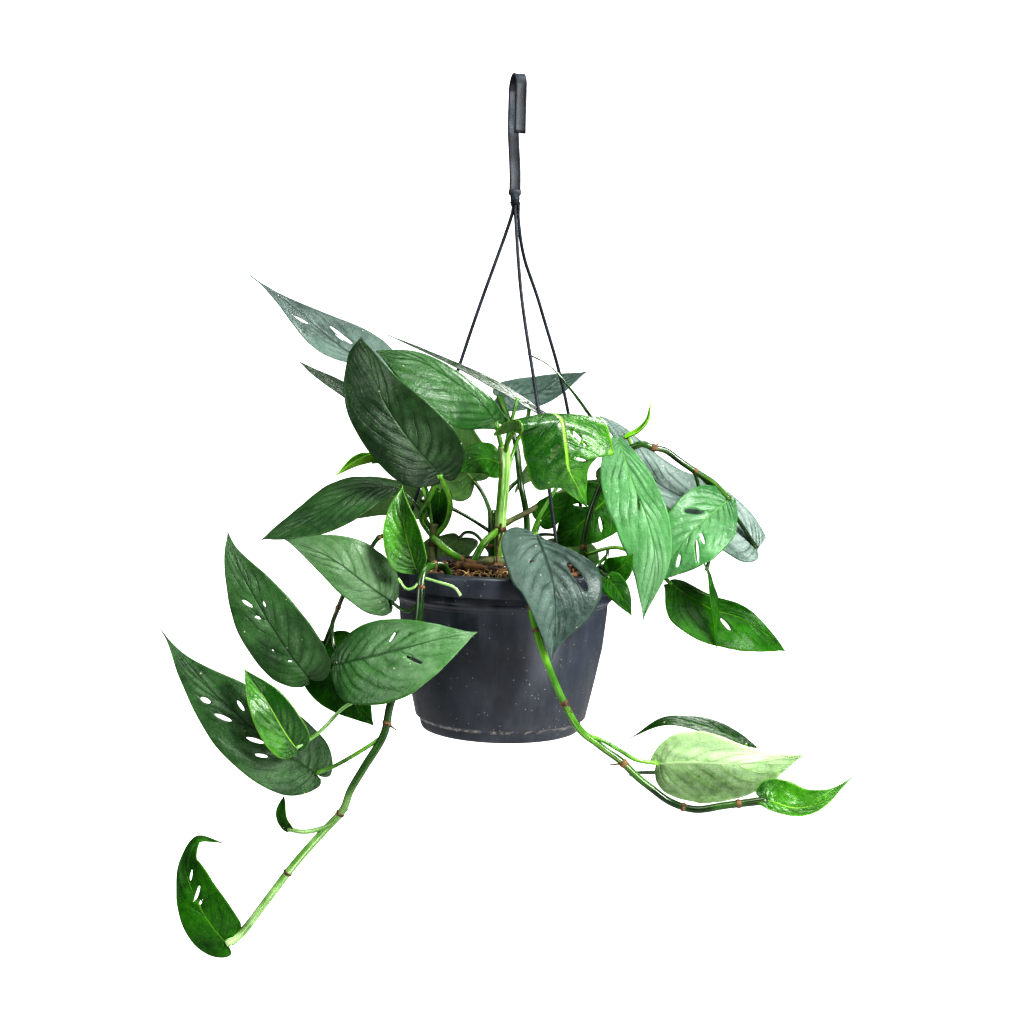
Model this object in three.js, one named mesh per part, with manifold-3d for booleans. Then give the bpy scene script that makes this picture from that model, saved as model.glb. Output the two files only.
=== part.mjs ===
// A cebu blue pothos growing in a hanging nursery pot.
// Millimetres, +Z up. The origin is the inside of the hook's crown, where the pot hangs.
// The pot's axis is X = 0, Y = 0, and the plant's front looks along -Y.
import * as THREE from 'three';
import { mergeVertices } from 'three/addons/utils/BufferGeometryUtils.js';
import Module from 'manifold-3d';

const wasm = await Module();
wasm.setup();

// Pot: a thin moulded shell with a rolled rim band
const rimTop = -387;
const rimRadius = 95;
const rimBandDepth = 15;
const collarRadius = 87;
const collarBottom = -410;
const bodyTopRadius = 84;
const footRadius = 65;
const potBottom = -517;
const footLip = 8;
const baseRecess = 2.5;
const wall = 1.8;
const drainHoles = 6;
const drainRadius = 5;
const drainCircle = 38;
const potSides = 24;

// Hanger: one hook and three strands of black plastic
const hookThroatRadius = 10;
const hookStrap = 3;
const hookWidth = 9;
const hookTipDrop = 36;
const hookShankEnd = -88;
const hookTurn = 14;
const strandRadius = 1.4;
const strandHoleRadius = 1.9;
const strandCircle = 89;
const strandTail = 4.5;

// Soil: a mound that fills the pot
const soilEdge = -394;
const soilCrown = -384;
const soilGap = 0.3;

// Plant: blades are thin sheets, and stems keep a small clearance from them and from the soil
const clearance = 0.5;
const bladeThickness = 0.7;
const longLeaf = 75;
const stemSides = 5;
const stemStep = 25;

const colours = {
  plastic: 0x26292e,
  strap: 0x17191c,
  soil: 0x3a2a1e,
  deep: 0x2f4a47,
  dark: 0x24502f,
  mid: 0x3c7a3a,
  pale: 0x8fb894,
  young: 0x6fae2f,
  stem: 0x5f8f3a,
};

// Outline of a pothos blade, row by row from the notch at the petiole to the drip tip:
// where the row leaves the midrib and where it meets the margin, as shares of the leaf's length,
// and how far out the margin lies, as a share of the half width.
const bladeOutline = spline([
  [0.0, -0.03, 0.14],
  [0.015, -0.06, 0.4],
  [0.035, -0.03, 0.7],
  [0.07, 0.06, 0.92],
  [0.14, 0.22, 1.0],
  [0.28, 0.4, 0.95],
  [0.44, 0.57, 0.78],
  [0.61, 0.73, 0.53],
  [0.79, 0.87, 0.25],
  [0.91, 0.95, 0.09],
  [1.0, 1.0, 0.015],
]);

// The same for the young leaf that is folded over at half its length: square, then a small tip
const foldedOutline = spline([
  [0, -0.03, 0.14], [0.02, -0.04, 0.45], [0.06, 0, 0.8], [0.14, 0.12, 0.97], [0.26, 0.26, 1.03],
  [0.38, 0.38, 1.05], [0.5, 0.51, 1], [0.6, 0.63, 0.97], [0.68, 0.73, 0.86], [0.73, 0.77, 0.42],
  [0.85, 0.86, 0.24], [1, 1, 0.012],
]);

// The same for a blade whose two lobes close over the notch
const closedOutline = spline([
  [0, 0, 0.3], [0.012, -0.008, 0.55], [0.035, 0.01, 0.78], [0.07, 0.07, 0.93], [0.14, 0.22, 1],
  [0.28, 0.4, 0.95], [0.44, 0.57, 0.78], [0.61, 0.73, 0.53], [0.79, 0.87, 0.25], [0.91, 0.95, 0.09],
  [1, 1, 0.015],
]);

const longLeafRows = [0, 0.1, 0.25, 0.4, 0.5, 0.6, 0.7, 0.85, 1];
const shortLeafRows = [0, 0.2, 0.4, 0.6, 0.8, 1];
const bladeColumns = [-1, -0.5, 0, 0.5, 1];

// Leaves. rib: the midrib from base to tip. face: the way the upper side looks, from base to tip.
// half: the half widths left and right of the midrib. fold, curl: degrees that each half is lifted
// at the midrib and rolled on towards its margin. wave: height, count and phase of the wavy margin.
// taper: how early each half narrows. lean: how far its rows slant towards the tip.
// holes: both ends of each hole, along and across the blade, and its width.
const leaves = [
  {
    name: 'leaf_top_left_long', tone: 'deep',
    rib: [[-108, 30, -233], [-145, 32, -209], [-178, 22, -182], [-215, 5, -156]],
    face: [[0.1, -0.7, 0.7]], half: [21, 29], curl: 15, wave: [1, 2, 0], taper: 2.67, lean: [0.2, -0.1],
    holes: [[0.59, 0.7, 0.59, 0.3, 3], [0.56, -0.52, 0.46, -0.33, 4]],
  },
  {
    name: 'leaf_top_left_narrow', tone: 'deep',
    rib: [[-123, 0, -255], [-146, -6, -241], [-166, -12, -228]],
    face: [[0, -0.5, 0.85]], half: [11, 9], curl: 20, taper: [0.97, 1.1], lean: [0.03, -0.08],
  },
  {
    name: 'leaf_crown_big', tone: 'deep',
    rib: [[-50, -62, -313], [-70, -78, -290], [-93, -82, -257], [-107, -67, -223], [-114, -43, -209]],
    face: [[-0.1, -0.9, 0.35], [-0.15, -0.9, 0.35], [-0.2, -0.4, 0.9]], half: [30, 31], fold: [6, 12],
    curl: [-12, 10], wave: [1.2, 2, 0.2], taper: [0.92, 1.93], lean: [0.13, -0.02],
  },
  {
    name: 'leaf_crown_green', tone: 'mid',
    rib: [[-9, -22, -272], [-24, -36, -254], [-47, -45, -238], [-73, -48, -225], [-103, -42, -220]],
    face: [[-0.15, -0.8, 0.6]], half: [36, 13], fold: [6, -6], curl: [-10, -20], wave: [1, 2, 0.5],
    taper: [1.09, 0.61], lean: [0.22, -0.1],
  },
  {
    name: 'leaf_crown_dark', tone: 'deep',
    rib: [[18, 4, -258], [-14, -8, -241], [-55, -14, -222], [-97, -14, -205]],
    face: [[0.15, -0.4, 0.9]], half: [9, 8], curl: 12, wave: [0.8, 2, 0], taper: [1.02, 1.24],
    lean: [-0.09, -0.1],
  },
  {
    name: 'leaf_back_grey', tone: 'deep',
    rib: [[-10, 80, -250], [26, 72, -244], [64, 58, -227]],
    face: [[0, -0.75, 0.65]], half: [18, 20], curl: 12, wave: [0.8, 2, 0],
  },
  {
    name: 'leaf_back_edge', tone: 'mid',
    rib: [[66, 12, -266], [49, -5, -245], [31, -12, -226], [12, -6, -216]],
    face: [[0.7, -0.1, 0.7]], half: [11, 11], curl: 10,
  },
  {
    name: 'leaf_young_folded', tone: 'young',
    rib: [
      [5, -78, -277], [18, -90, -269], [30, -101, -264], [38, -109, -268], [41, -112, -280], [43, -113, -293],
      [45, -111, -304], [52, -100, -317], [60, -89, -332],
    ],
    face: [[-0.1, 0, 1], [0.15, -0.2, 0.95], [0.05, -0.85, 0.5], [0, -1, 0.05], [0.6, -0.7, 0.1]],
    half: [37, 31], fold: [-8, 0], curl: [-18, -12], wave: [0.8, 2.5, 0.2], outline: foldedOutline,
    holes: [[0.51, 0.15, 0.6, 0.42, 3], [0.57, -0.17, 0.66, -0.42, 3.5]],
  },
  {
    name: 'leaf_right_hanging', tone: 'pale',
    rib: [[87, -18, -282], [99, -42, -319], [109, -50, -344], [116, -46, -378], [110, -30, -424]],
    face: [[0.05, -0.85, 0.5], [0.1, -0.95, 0.2]], half: [17, 26], fold: [8, 4], curl: [-8, -10],
    wave: [1, 2, 0.3], taper: [1.44, 1.09], lean: [0.16, 0.14],
    holes: [[0.53, 0.02, 0.55, -0.2, 2]],
  },
  {
    name: 'leaf_right_pale', tone: 'pale',
    rib: [[178, -8, -327], [156, -26, -343], [137, -34, -363], [121, -33, -392]],
    face: [[0, -0.9, 0.4]], half: [28, 25], fold: 10, curl: -8, wave: [1.5, 2, 0.1], taper: [1.05, 0.6],
    lean: [0.22, 0.13],
    holes: [
      [0.49, -0.68, 0.49, -0.2, 4.5], [0.58, 0.2, 0.55, 0.57, 2.5], [0.61, 0.27, 0.61, 0.92, 3],
      [0.73, 0.28, 0.75, 0.7, 2.5],
    ],
  },
  {
    name: 'leaf_right_dark', tone: 'deep',
    rib: [[205, 12, -368], [166, 15, -338], [121, 17, -316], [72, 11, -266]],
    face: [[0, -0.85, 0.5]], half: [22, 22], fold: [4, 8], curl: -8, wave: [1.2, 2, 0],
    taper: [2.23, 0.48], lean: [-0.03, 0.11],
    outline: closedOutline,
  },
  {
    name: 'leaf_right_deep', tone: 'dark',
    rib: [[132, -18, -395], [159, -42, -410], [187, -52, -418], [218, -50, -441]],
    face: [[0, -0.75, 0.65]], half: [11, 33], fold: 8, curl: [-5, -12], wave: [1, 2.5, 0],
    taper: [0.75, 0.97], lean: [0.12, 0.22],
    holes: [[0.58, -0.23, 0.58, -0.57, 3]],
  },
  {
    name: 'leaf_right_edge', tone: 'mid',
    rib: [[158, -30, -381], [160, -58, -398], [162, -72, -438]],
    face: [[0.8, -0.6, 0.1]], half: [9, 9], curl: 15, taper: 1.5,
  },
  {
    name: 'leaf_front_split', tone: 'deep',
    rib: [[23, -85, -353], [31, -104, -372], [36, -115, -388], [38, -119, -409], [37, -118, -444]],
    face: [[0, -0.6, 0.8], [0, -0.9, 0.4], [0, -1, 0.05]], half: [38, 29], fold: [0, -6],
    curl: [-28, -20], wave: [1.3, 2, 0.4], taper: [2.23, 1], lean: [0.22, -0.08],
    holes: [[0.44, 0.39, 0.51, 0.75, 6.5]],
  },
  {
    name: 'leaf_left_upper', tone: 'dark',
    rib: [[-84, -38, -324], [-110, -52, -326], [-140, -60, -343], [-186, -55, -366]],
    face: [[-0.1, -0.65, 0.75]], half: [23, 23], curl: [-10, -8], wave: [1, 2, 0], taper: [1.04, 1.05],
    lean: 0.22,
  },
  {
    name: 'leaf_left_satin', tone: 'dark',
    rib: [[-84, -74, -409], [-105, -88, -392], [-121, -95, -379], [-139, -92, -370], [-164, -82, -363]],
    face: [[-0.15, -0.85, 0.45]], half: [18, 26], curl: [-10, -6], wave: [1, 2, 0.3],
    taper: [1.09, 1.15], lean: [0.04, 0.07],
  },
  {
    name: 'leaf_left_tall', tone: 'dark',
    rib: [[-146, -66, -470], [-162, -77, -446], [-181, -84, -414], [-202, -78, -379], [-209, -70, -359]],
    face: [[-0.2, -0.9, 0.3]], half: [25, 26], fold: 6, curl: [-12, -6], wave: [1.2, 2.5, 0],
    taper: [1.16, 1.13], lean: [0.08, 0.01],
    holes: [[0.64, 0.56, 0.63, 0.27, 2.5], [0.59, 0.35, 0.59, 0.18, 2]],
  },
  {
    name: 'leaf_left_long', tone: 'dark',
    rib: [[-138, -70, -543], [-164, -88, -519], [-195, -97, -492], [-232, -90, -461], [-258, -75, -433]],
    face: [[-0.1, -0.85, 0.5]], half: [31, 28], fold: 6, curl: [-12, -10], wave: [1.2, 3, 0],
    taper: [1.74, 1.68], lean: [0.04, -0],
    holes: [
      [0.66, 0.63, 0.65, 0.43, 3.5], [0.61, 0.56, 0.59, 0.3, 3], [0.61, -0.42, 0.59, -0.27, 2.5],
      [0.53, 0.34, 0.5, 0.14, 3], [0.47, 0.51, 0.45, 0.34, 2.5],
    ],
  },
  {
    name: 'leaf_left_young', tone: 'young',
    rib: [[-149, -100, -517], [-159, -109, -499], [-170, -112, -479], [-188, -105, -457]],
    face: [[-0.1, -0.95, 0.3]], half: [18, 16], fold: [30, 8], curl: [6, -8], wave: [0.8, 2, 0],
    taper: [0.92, 1.08], lean: [0.1, 0.06],
  },
  {
    name: 'leaf_left_rim', tone: 'mid',
    rib: [[-124, -90, -455], [-98, -106, -446], [-71, -116, -437], [-45, -118, -429], [-18, -112, -424]],
    face: [[0, -0.85, 0.5]], half: [27, 38], fold: 6, curl: [-12, -14], wave: [1.2, 2.5, 0.2],
    taper: [1.29, 1.03], lean: [0.07, 0.13],
    holes: [[0.63, -0.24, 0.64, -0.64, 2.5]],
  },
  {
    name: 'leaf_left_shade', tone: 'dark',
    rib: [[-137, -53, -443], [-128, -57, -470], [-97, -60, -506]],
    face: [[-0.2, -0.95, 0.15]], half: [27, 25], curl: -8, wave: [1, 2, 0.2],
  },
  {
    name: 'leaf_left_bud', tone: 'dark',
    rib: [[-157, -76, -585], [-162, -80, -572], [-161, -82, -557]],
    face: [[-0.5, -0.8, 0.2]], half: [6, 6], curl: 30, taper: [0.83, 0.73], lean: [0.07, 0.06],
  },
  {
    name: 'leaf_lowest', tone: 'dark',
    rib: [
      [-204, -72, -676], [-216, -86, -652], [-228, -85, -631], [-236, -76, -611], [-229, -68, -594],
      [-209, -66, -599],
    ],
    face: [[-0.05, -0.85, 0.5], [-0.1, -0.95, 0.2], [-0.6, -0.5, 0.6], [0.2, -0.7, 0.7]], half: [19, 20],
    fold: [8, 5], curl: [-6, -10], wave: [1.2, 2, 0.1], taper: [2.56, 1.06], lean: [-0.04, 0.05],
    holes: [[0.64, -0.51, 0.64, -0.09, 2.5], [0.57, -0.53, 0.56, 0.2, 2.5]],
  },
  {
    name: 'leaf_inner_upright', tone: 'young',
    rib: [[-65, -84, -384], [-72, -91, -360], [-77, -90, -337], [-77, -85, -320]],
    face: [[-0.2, -0.95, 0.1]], half: [19, 19], fold: [30, 35], curl: 8, wave: [1, 1.5, 0],
    taper: [1.34, 1.3], lean: [0.11, 0.14],
  },
  {
    name: 'leaf_rolled_left', tone: 'young',
    rib: [[-102, -50, -304], [-115, -60, -308], [-129, -65, -315]],
    face: [[0, -0.3, 0.95]], half: [8, 8], fold: 50, curl: 30,
  },
  {
    name: 'leaf_inner_mid', tone: 'mid',
    rib: [[-6, 22, -304], [-22, 12, -301], [-44, -2, -312]],
    face: [[0, -0.85, 0.5]], half: [16, 16], curl: -8,
  },
  {
    name: 'leaf_inner_hanging', tone: 'dark',
    rib: [[-52, -20, -326], [-53, -25, -341], [-54, -24, -360]],
    face: [[0, -1, 0.1]], half: [10, 10], curl: -10,
  },
  {
    name: 'leaf_inner_right', tone: 'dark',
    rib: [[84, 26, -330], [64, 20, -349], [40, 12, -372]],
    face: [[0, -0.9, 0.4]], half: [25, 24], curl: -8,
    holes: [[0.48, 0.25, 0.52, 0.76, 2.5], [0.48, -0.25, 0.52, -0.76, 2.5]],
  },
  {
    name: 'leaf_inner_pale', tone: 'mid',
    rib: [[27, 0, -349], [40, -4, -336], [52, -6, -324]],
    face: [[0, -0.9, 0.4]], half: [12, 12],
  },
  {
    name: 'leaf_rim_small', tone: 'mid',
    rib: [[80, -64, -384], [88, -70, -378], [97, -70, -368]],
    face: [[0.2, -0.9, 0.3]], half: [11, 11],
  },
  {
    name: 'leaf_rim_pointed', tone: 'mid',
    rib: [[77, -86, -384], [86, -94, -395], [95, -96, -411]],
    face: [[0.1, -0.95, 0.2]], half: [9, 9],
  },
  {
    name: 'leaf_rolled_right', tone: 'young',
    rib: [[95, 3, -281], [105, 2, -276], [112, 0, -266], [113, -1, -251]],
    face: [[-0.6, -0.5, 0.6]], half: [4, 4], fold: 45, curl: 25,
  },
  {
    name: 'leaf_tail_thin', tone: 'dark',
    rib: [[188, -70, -511], [168, -76, -501], [143, -80, -493], [121, -83, -492], [98, -84, -505]],
    face: [[0, -0.35, 0.93]], half: [14, 13], curl: 10, wave: [0.8, 2, 0], taper: [1.3, 1.5],
    lean: [-0.06, -0.08],
  },
  {
    name: 'leaf_tail_pale', tone: 'pale',
    rib: [[117, -95, -521], [143, -104, -517], [178, -108, -516], [225, -100, -510]],
    face: [[0, 0.9, 0.35]], half: [42, 24], fold: 6, curl: [6, 8], wave: [1.2, 2.5, 0],
    taper: [0.81, 2.23], lean: 0.05,
  },
  {
    name: 'leaf_tail_end', tone: 'mid',
    rib: [[196, -110, -542], [219, -113, -547], [239, -113, -540], [262, -108, -522]],
    face: [[-0.1, -0.7, 0.7]], half: [19, 8], fold: [25, 8], curl: [10, -10], wave: [0.8, 2, 0],
    taper: [2.22, 1.9], lean: [-0.07, -0.05],
  },
  {
    name: 'leaf_rear_left', tone: 'dark',
    rib: [[-72, 42, -338], [-112, 64, -336], [-150, 70, -350], [-178, 62, -372]],
    face: [[-0.2, 0.8, 0.6]], half: [25, 24], curl: -10, wave: [1, 2, 0],
  },
  {
    name: 'leaf_rear_crown', tone: 'deep',
    rib: [[-28, 74, -322], [-56, 94, -290], [-82, 98, -254], [-94, 88, -226]],
    face: [[-0.1, 0.9, 0.4]], half: [30, 30], curl: -10, wave: [1, 2, 0.3],
  },
  {
    name: 'leaf_rear_centre', tone: 'mid',
    rib: [[12, 76, -318], [28, 98, -302], [48, 106, -292], [74, 102, -296]],
    face: [[0, 0.7, 0.7]], half: [24, 24], curl: -10, wave: [1, 2, 0.5],
  },
  {
    name: 'leaf_rear_right', tone: 'deep',
    rib: [[76, 58, -318], [106, 76, -322], [142, 86, -348], [166, 82, -388]],
    face: [[0.2, 0.85, 0.5]], half: [28, 29], curl: -10, wave: [1, 2, 0.2],
  },
  {
    name: 'leaf_rear_low_right', tone: 'dark',
    rib: [[50, 88, -372], [60, 108, -386], [62, 118, -420], [52, 114, -458]],
    face: [[0.1, 0.6, 0.8], [0.2, 1, 0.1]], half: [22, 23], curl: -10, wave: [1, 2, 0],
  },
  {
    name: 'leaf_rear_low_left', tone: 'mid',
    rib: [[-40, 88, -372], [-54, 108, -386], [-60, 118, -420], [-54, 114, -458]],
    face: [[-0.1, 0.6, 0.8], [-0.2, 1, 0.1]], half: [22, 23], curl: -10, wave: [1, 2, 0.4],
  },
  {
    name: 'leaf_rear_vine_upper', tone: 'dark',
    rib: [[10, 120, -418], [-10, 130, -436], [-22, 130, -464], [-20, 124, -496]],
    face: [[-0.1, 1, 0.25]], half: [23, 24], curl: -10, wave: [1, 2, 0],
  },
  {
    name: 'leaf_rear_vine_lower', tone: 'mid',
    rib: [[6, 119, -470], [20, 128, -486], [32, 126, -510], [32, 120, -536]],
    face: [[0.1, 1, 0.25]], half: [18, 18], curl: -10,
  },
  {
    name: 'leaf_rear_vine_tip', tone: 'young',
    rib: [[-6, 113, -524], [-13, 118, -535], [-20, 115, -551]],
    face: [[-0.1, 1, 0.1]], half: [9, 9], fold: 20,
  },
];

// Stems and petioles of each shoot. A way runs through its points, and `to` ends it at a leaf's base.
const shoots = [
  {
    name: 'vine_left',
    ways: [
      {
        radius: 3,
        points: [
          [-38, -53, -404], [-43, -60, -386], [-50, -70, -380], [-60, -87, -385], [-62, -97, -419],
          [-68, -96, -446], [-81, -93, -481], [-86, -91, -506], [-100, -90, -531], [-110, -90, -549],
          [-116, -89, -565], [-132, -87, -584], [-153, -83, -610], [-174, -78, -640], [-193, -70, -667],
        ],
        to: 'leaf_lowest',
      },
      { radius: 1.6, points: [[-86, -91, -507], [-102, -87, -519], [-122, -78, -533]], to: 'leaf_left_long' },
      {
        radius: 1.5,
        points: [[-81, -93, -481], [-94, -98, -477], [-114, -98, -484], [-132, -98, -503]],
        to: 'leaf_left_young',
      },
      {
        radius: 1.8,
        points: [[-116, -89, -565], [-122, -90, -574], [-134, -88, -580], [-146, -85, -583]],
        to: 'leaf_left_bud',
      },
      { radius: 1.4, points: [[-60, -94, -404], [-71, -86, -414]], to: 'leaf_left_satin' },
      { radius: 1.6, points: [[-57, -82, -382], [-60, -83, -381]], to: 'leaf_inner_upright' },
      { radius: 1.1, points: [[-60, -88, -388], [-66, -93, -395], [-72, -93, -396], [-78, -90, -389]] },
      { radius: 1.1, points: [[-60, -88, -388], [-47, -99, -390], [-36, -102, -393], [-31, -102, -399]] },
    ],
  },
  {
    name: 'vine_left_thin',
    ways: [
      {
        radius: 1.8,
        points: [
          [-66, -34, -404], [-71, -34, -380], [-83, -35, -364], [-96, -42, -362], [-104, -56, -373],
          [-117, -68, -396], [-125, -70, -416], [-129, -71, -430], [-126, -76, -446],
        ],
        to: 'leaf_left_rim',
      },
      {
        radius: 1.5,
        points: [[-128, -71, -428], [-134, -66, -442], [-140, -64, -460]],
        to: 'leaf_left_tall',
      },
      { radius: 1.3, points: [[-126, -70, -420], [-131, -61, -431]], to: 'leaf_left_shade' },
    ],
  },
  {
    name: 'shoot_left',
    ways: [
      { radius: 3.6, points: [[-55, -26, -404], [-56, -27, -380], [-56, -27, -352]] },
      { radius: 2.2, points: [[-55, -27, -362], [-46, -33, -350], [-43, -47, -333]], to: 'leaf_crown_big' },
      { radius: 2.2, points: [[-57, -27, -362], [-66, -29, -348], [-60, -44, -333]], to: 'leaf_crown_big' },
      { radius: 1.5, points: [[-58, -26, -356], [-70, -30, -338]], to: 'leaf_left_upper' },
      { radius: 1.8, points: [[-56, -26, -356], [-72, 0, -310], [-96, 24, -262]], to: 'leaf_top_left_long' },
      { radius: 1.3, points: [[-86, 15, -278], [-104, 8, -268]], to: 'leaf_top_left_narrow' },
      { radius: 1.3, points: [[-57, -29, -354], [-63, -37, -322], [-78, -42, -304]], to: 'leaf_rolled_left' },
      {
        radius: 1.3,
        points: [[-56, -25, -356], [-58, -13, -342], [-56, -14, -327]],
        to: 'leaf_inner_hanging',
      },
      { radius: 2.8, points: [[-57, -28, -362], [-50, -34, -368], [-40, -36, -375], [-31, -36, -379]] },
    ],
  },
  {
    name: 'shoot_centre',
    ways: [
      {
        radius: 4.4,
        points: [[-4, 0, -404], [-4, -5, -369], [-4, -7, -346], [-2, -12, -309], [-3, -16, -290]],
      },
      { radius: 2, points: [[-3, -15, -296], [-6, -19, -286]], to: 'leaf_crown_green' },
      { radius: 1.8, points: [[-2, -15, -296], [0, -30, -287], [4, -50, -279]], to: 'leaf_young_folded' },
      { radius: 1.5, points: [[-3, -14, -298], [1, -17, -276], [7, -18, -252]] },
      { radius: 1.6, points: [[-3, -9, -325], [6, 2, -290], [14, 3, -272]], to: 'leaf_crown_dark' },
      { radius: 1.6, points: [[-4, -4, -356], [-5, 12, -328], [-3, 24, -314]], to: 'leaf_inner_mid' },
      { radius: 3.8, points: [[-30, -26, -385], [-20, -20, -381], [-3, -8, -382], [17, 5, -384]] },
      { radius: 3, points: [[-25, -24, -382], [-16, -19, -366], [-4, -6, -356]] },
      {
        radius: 2.6,
        points: [[17, 5, -403], [17, 6, -351], [11, 8, -319], [6, 36, -286], [-4, 66, -260]],
        to: 'leaf_back_grey',
      },
      { radius: 2.4, points: [[-3, -4, -353], [20, 2, -341], [36, 6, -331], [50, 10, -324]] },
      {
        radius: 1.6,
        points: [[17, 4, -388], [22, -16, -357], [29, -21, -340], [43, -20, -315], [58, -6, -288]],
        to: 'leaf_back_edge',
      },
      { radius: 1.5, points: [[17, 5, -388], [23, 3, -372], [25, 1, -358]], to: 'leaf_inner_pale' },
    ],
  },
  {
    name: 'vine_right',
    ways: [
      {
        radius: 2.6,
        points: [
          [62, -6, -404], [62, -4, -375], [68, -2, -340], [84, 2, -302], [104, -5, -286], [115, -5, -288],
          [126, -2, -290], [138, 0, -298], [152, 0, -307], [165, -2, -315],
        ],
        to: 'leaf_right_pale',
      },
      { radius: 1.8, points: [[85, 2, -301], [88, -8, -290]], to: 'leaf_right_hanging' },
      { radius: 1.6, points: [[152, 0, -307], [172, 6, -326], [185, 9, -341]], to: 'leaf_right_dark' },
      { radius: 1.6, points: [[62, 0, -376], [90, -12, -368], [114, -16, -380]], to: 'leaf_right_deep' },
      { radius: 1.4, points: [[150, 0, -306], [160, 6, -340], [163, -14, -366]], to: 'leaf_right_edge' },
      { radius: 1.4, points: [[82, -9, -370], [80, -34, -372], [78, -54, -378]], to: 'leaf_rim_small' },
      { radius: 1.4, points: [[80, -36, -372], [70, -56, -380], [72, -74, -381]], to: 'leaf_rim_pointed' },
      { radius: 1.6, points: [[84, 4, -302], [88, 18, -318]], to: 'leaf_inner_right' },
      { radius: 1.6, points: [[100, -4, -288], [98, 1, -284]], to: 'leaf_rolled_right' },
    ],
  },
  {
    name: 'vine_front',
    ways: [
      {
        radius: 2.8,
        points: [
          [12, -50, -404], [14, -66, -383], [16, -80, -378], [19, -96, -382], [20, -103, -398],
          [23, -105, -415], [34, -108, -447], [55, -104, -490], [74, -102, -507], [90, -102, -518],
          [102, -103, -529], [114, -104, -538], [128, -106, -547], [146, -109, -551], [168, -110, -547],
        ],
        to: 'leaf_tail_end',
      },
      { radius: 1.8, points: [[13, -60, -391], [14, -60, -374], [16, -64, -360]], to: 'leaf_front_split' },
      {
        radius: 1.6,
        points: [[66, -103, -500], [76, -103, -503], [90, -101, -511], [102, -98, -518]],
        to: 'leaf_tail_pale',
      },
      {
        radius: 1.4,
        points: [
          [98, -103, -525], [99, -92, -531], [106, -80, -532], [150, -72, -532], [178, -66, -529],
          [191, -66, -519],
        ],
        to: 'leaf_tail_thin',
      },
    ],
  },
  {
    name: 'shoot_rear',
    ways: [
      { radius: 3.6, points: [[-10, 48, -404], [-11, 50, -375], [-12, 54, -345]] },
      { radius: 1.8, points: [[-12, 53, -350], [-20, 64, -332]], to: 'leaf_rear_crown' },
      { radius: 1.8, points: [[-12, 52, -356], [0, 62, -330]], to: 'leaf_rear_centre' },
      { radius: 1.6, points: [[-11, 51, -364], [-34, 50, -350], [-56, 44, -340]], to: 'leaf_rear_left' },
      { radius: 1.8, points: [[-11, 51, -364], [26, 58, -340], [58, 60, -322]], to: 'leaf_rear_right' },
      { radius: 1.5, points: [[-10, 50, -384], [20, 64, -368], [40, 78, -366]], to: 'leaf_rear_low_right' },
      { radius: 1.5, points: [[-10, 50, -384], [-24, 66, -368], [-34, 78, -366]], to: 'leaf_rear_low_left' },
      {
        radius: 2.6,
        points: [
          [-10, 50, -386], [4, 66, -381], [12, 84, -379], [16, 100, -384], [16, 109, -398],
          [12, 113, -430], [4, 114, -480],
        ],
        to: 'leaf_rear_vine_tip',
      },
      { radius: 1.4, points: [[15, 112, -408], [15, 117, -413]], to: 'leaf_rear_vine_upper' },
      { radius: 1.4, points: [[6, 114, -462], [6, 117, -466]], to: 'leaf_rear_vine_lower' },
    ],
  },
];

// Hanger strands: the angle round the pot where each is clipped in, from the front towards +X,
// and the points that it passes on its way down
const strands = [
  {
    name: 'hanger_strand_left', angle: -91, start: [-2.4, 0, -99.9],
    through: [[-25, 0, -178], [-40, 1, -226]],
  },
  {
    name: 'hanger_strand_front', angle: 29, start: [0.8, -2, -99.9],
    through: [[8, -20, -176], [23, -46, -262]],
  },
  {
    name: 'hanger_strand_right', angle: 129, start: [3.2, 1.4, -99.9],
    through: [[9, 9, -140], [24, 20, -180], [49, 41, -262]],
  },
];

function spline(rows) {
  const points = rows.map((row) => new THREE.Vector3(...row));
  return new THREE.CatmullRomCurve3(points, false, 'catmullrom', 0.5);
}

// A closed solid from a geometry, with its shared vertices merged
function solidOf(geometry) {
  geometry.deleteAttribute('normal');
  geometry.deleteAttribute('uv');
  const merged = mergeVertices(geometry, 1e-3);
  const corners = merged.index.array;
  const kept = [];
  for (let i = 0; i < corners.length; i += 3) {
    const [a, b, c] = corners.slice(i, i + 3);
    if (a !== b && b !== c && c !== a) {
      kept.push(a, b, c);
    }
  }
  const vertProperties = new Float32Array(merged.attributes.position.array);
  return new wasm.Manifold(new wasm.Mesh({ numProp: 3, vertProperties, triVerts: new Uint32Array(kept) }));
}

function largestPiece(solid) {
  const pieces = solid.decompose();
  return pieces.reduce((best, piece) => (piece.volume() > best.volume() ? piece : best));
}

function addMesh(group, name, solid, colour, roughness) {
  const { vertProperties, triVerts } = solid.getMesh();
  const geometry = new THREE.BufferGeometry();
  geometry.setAttribute('position', new THREE.BufferAttribute(vertProperties, 3));
  geometry.setIndex(new THREE.BufferAttribute(triVerts, 1));
  geometry.computeVertexNormals();
  const material = new THREE.MeshStandardMaterial({ color: colour, roughness, metalness: 0 });
  const mesh = new THREE.Mesh(geometry, material);
  mesh.name = name;
  group.add(mesh);
}

function turned(profile, sides) {
  const points = profile.map(([radius, height]) => new THREE.Vector2(radius, height));
  return solidOf(new THREE.LatheGeometry(points, sides).rotateX(Math.PI / 2));
}

function roundBar(radius, from, to, sides) {
  const bar = new THREE.CylinderGeometry(radius, radius, to - from, sides);
  return bar.rotateX(Math.PI / 2).translate(0, 0, (from + to) / 2);
}

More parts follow.
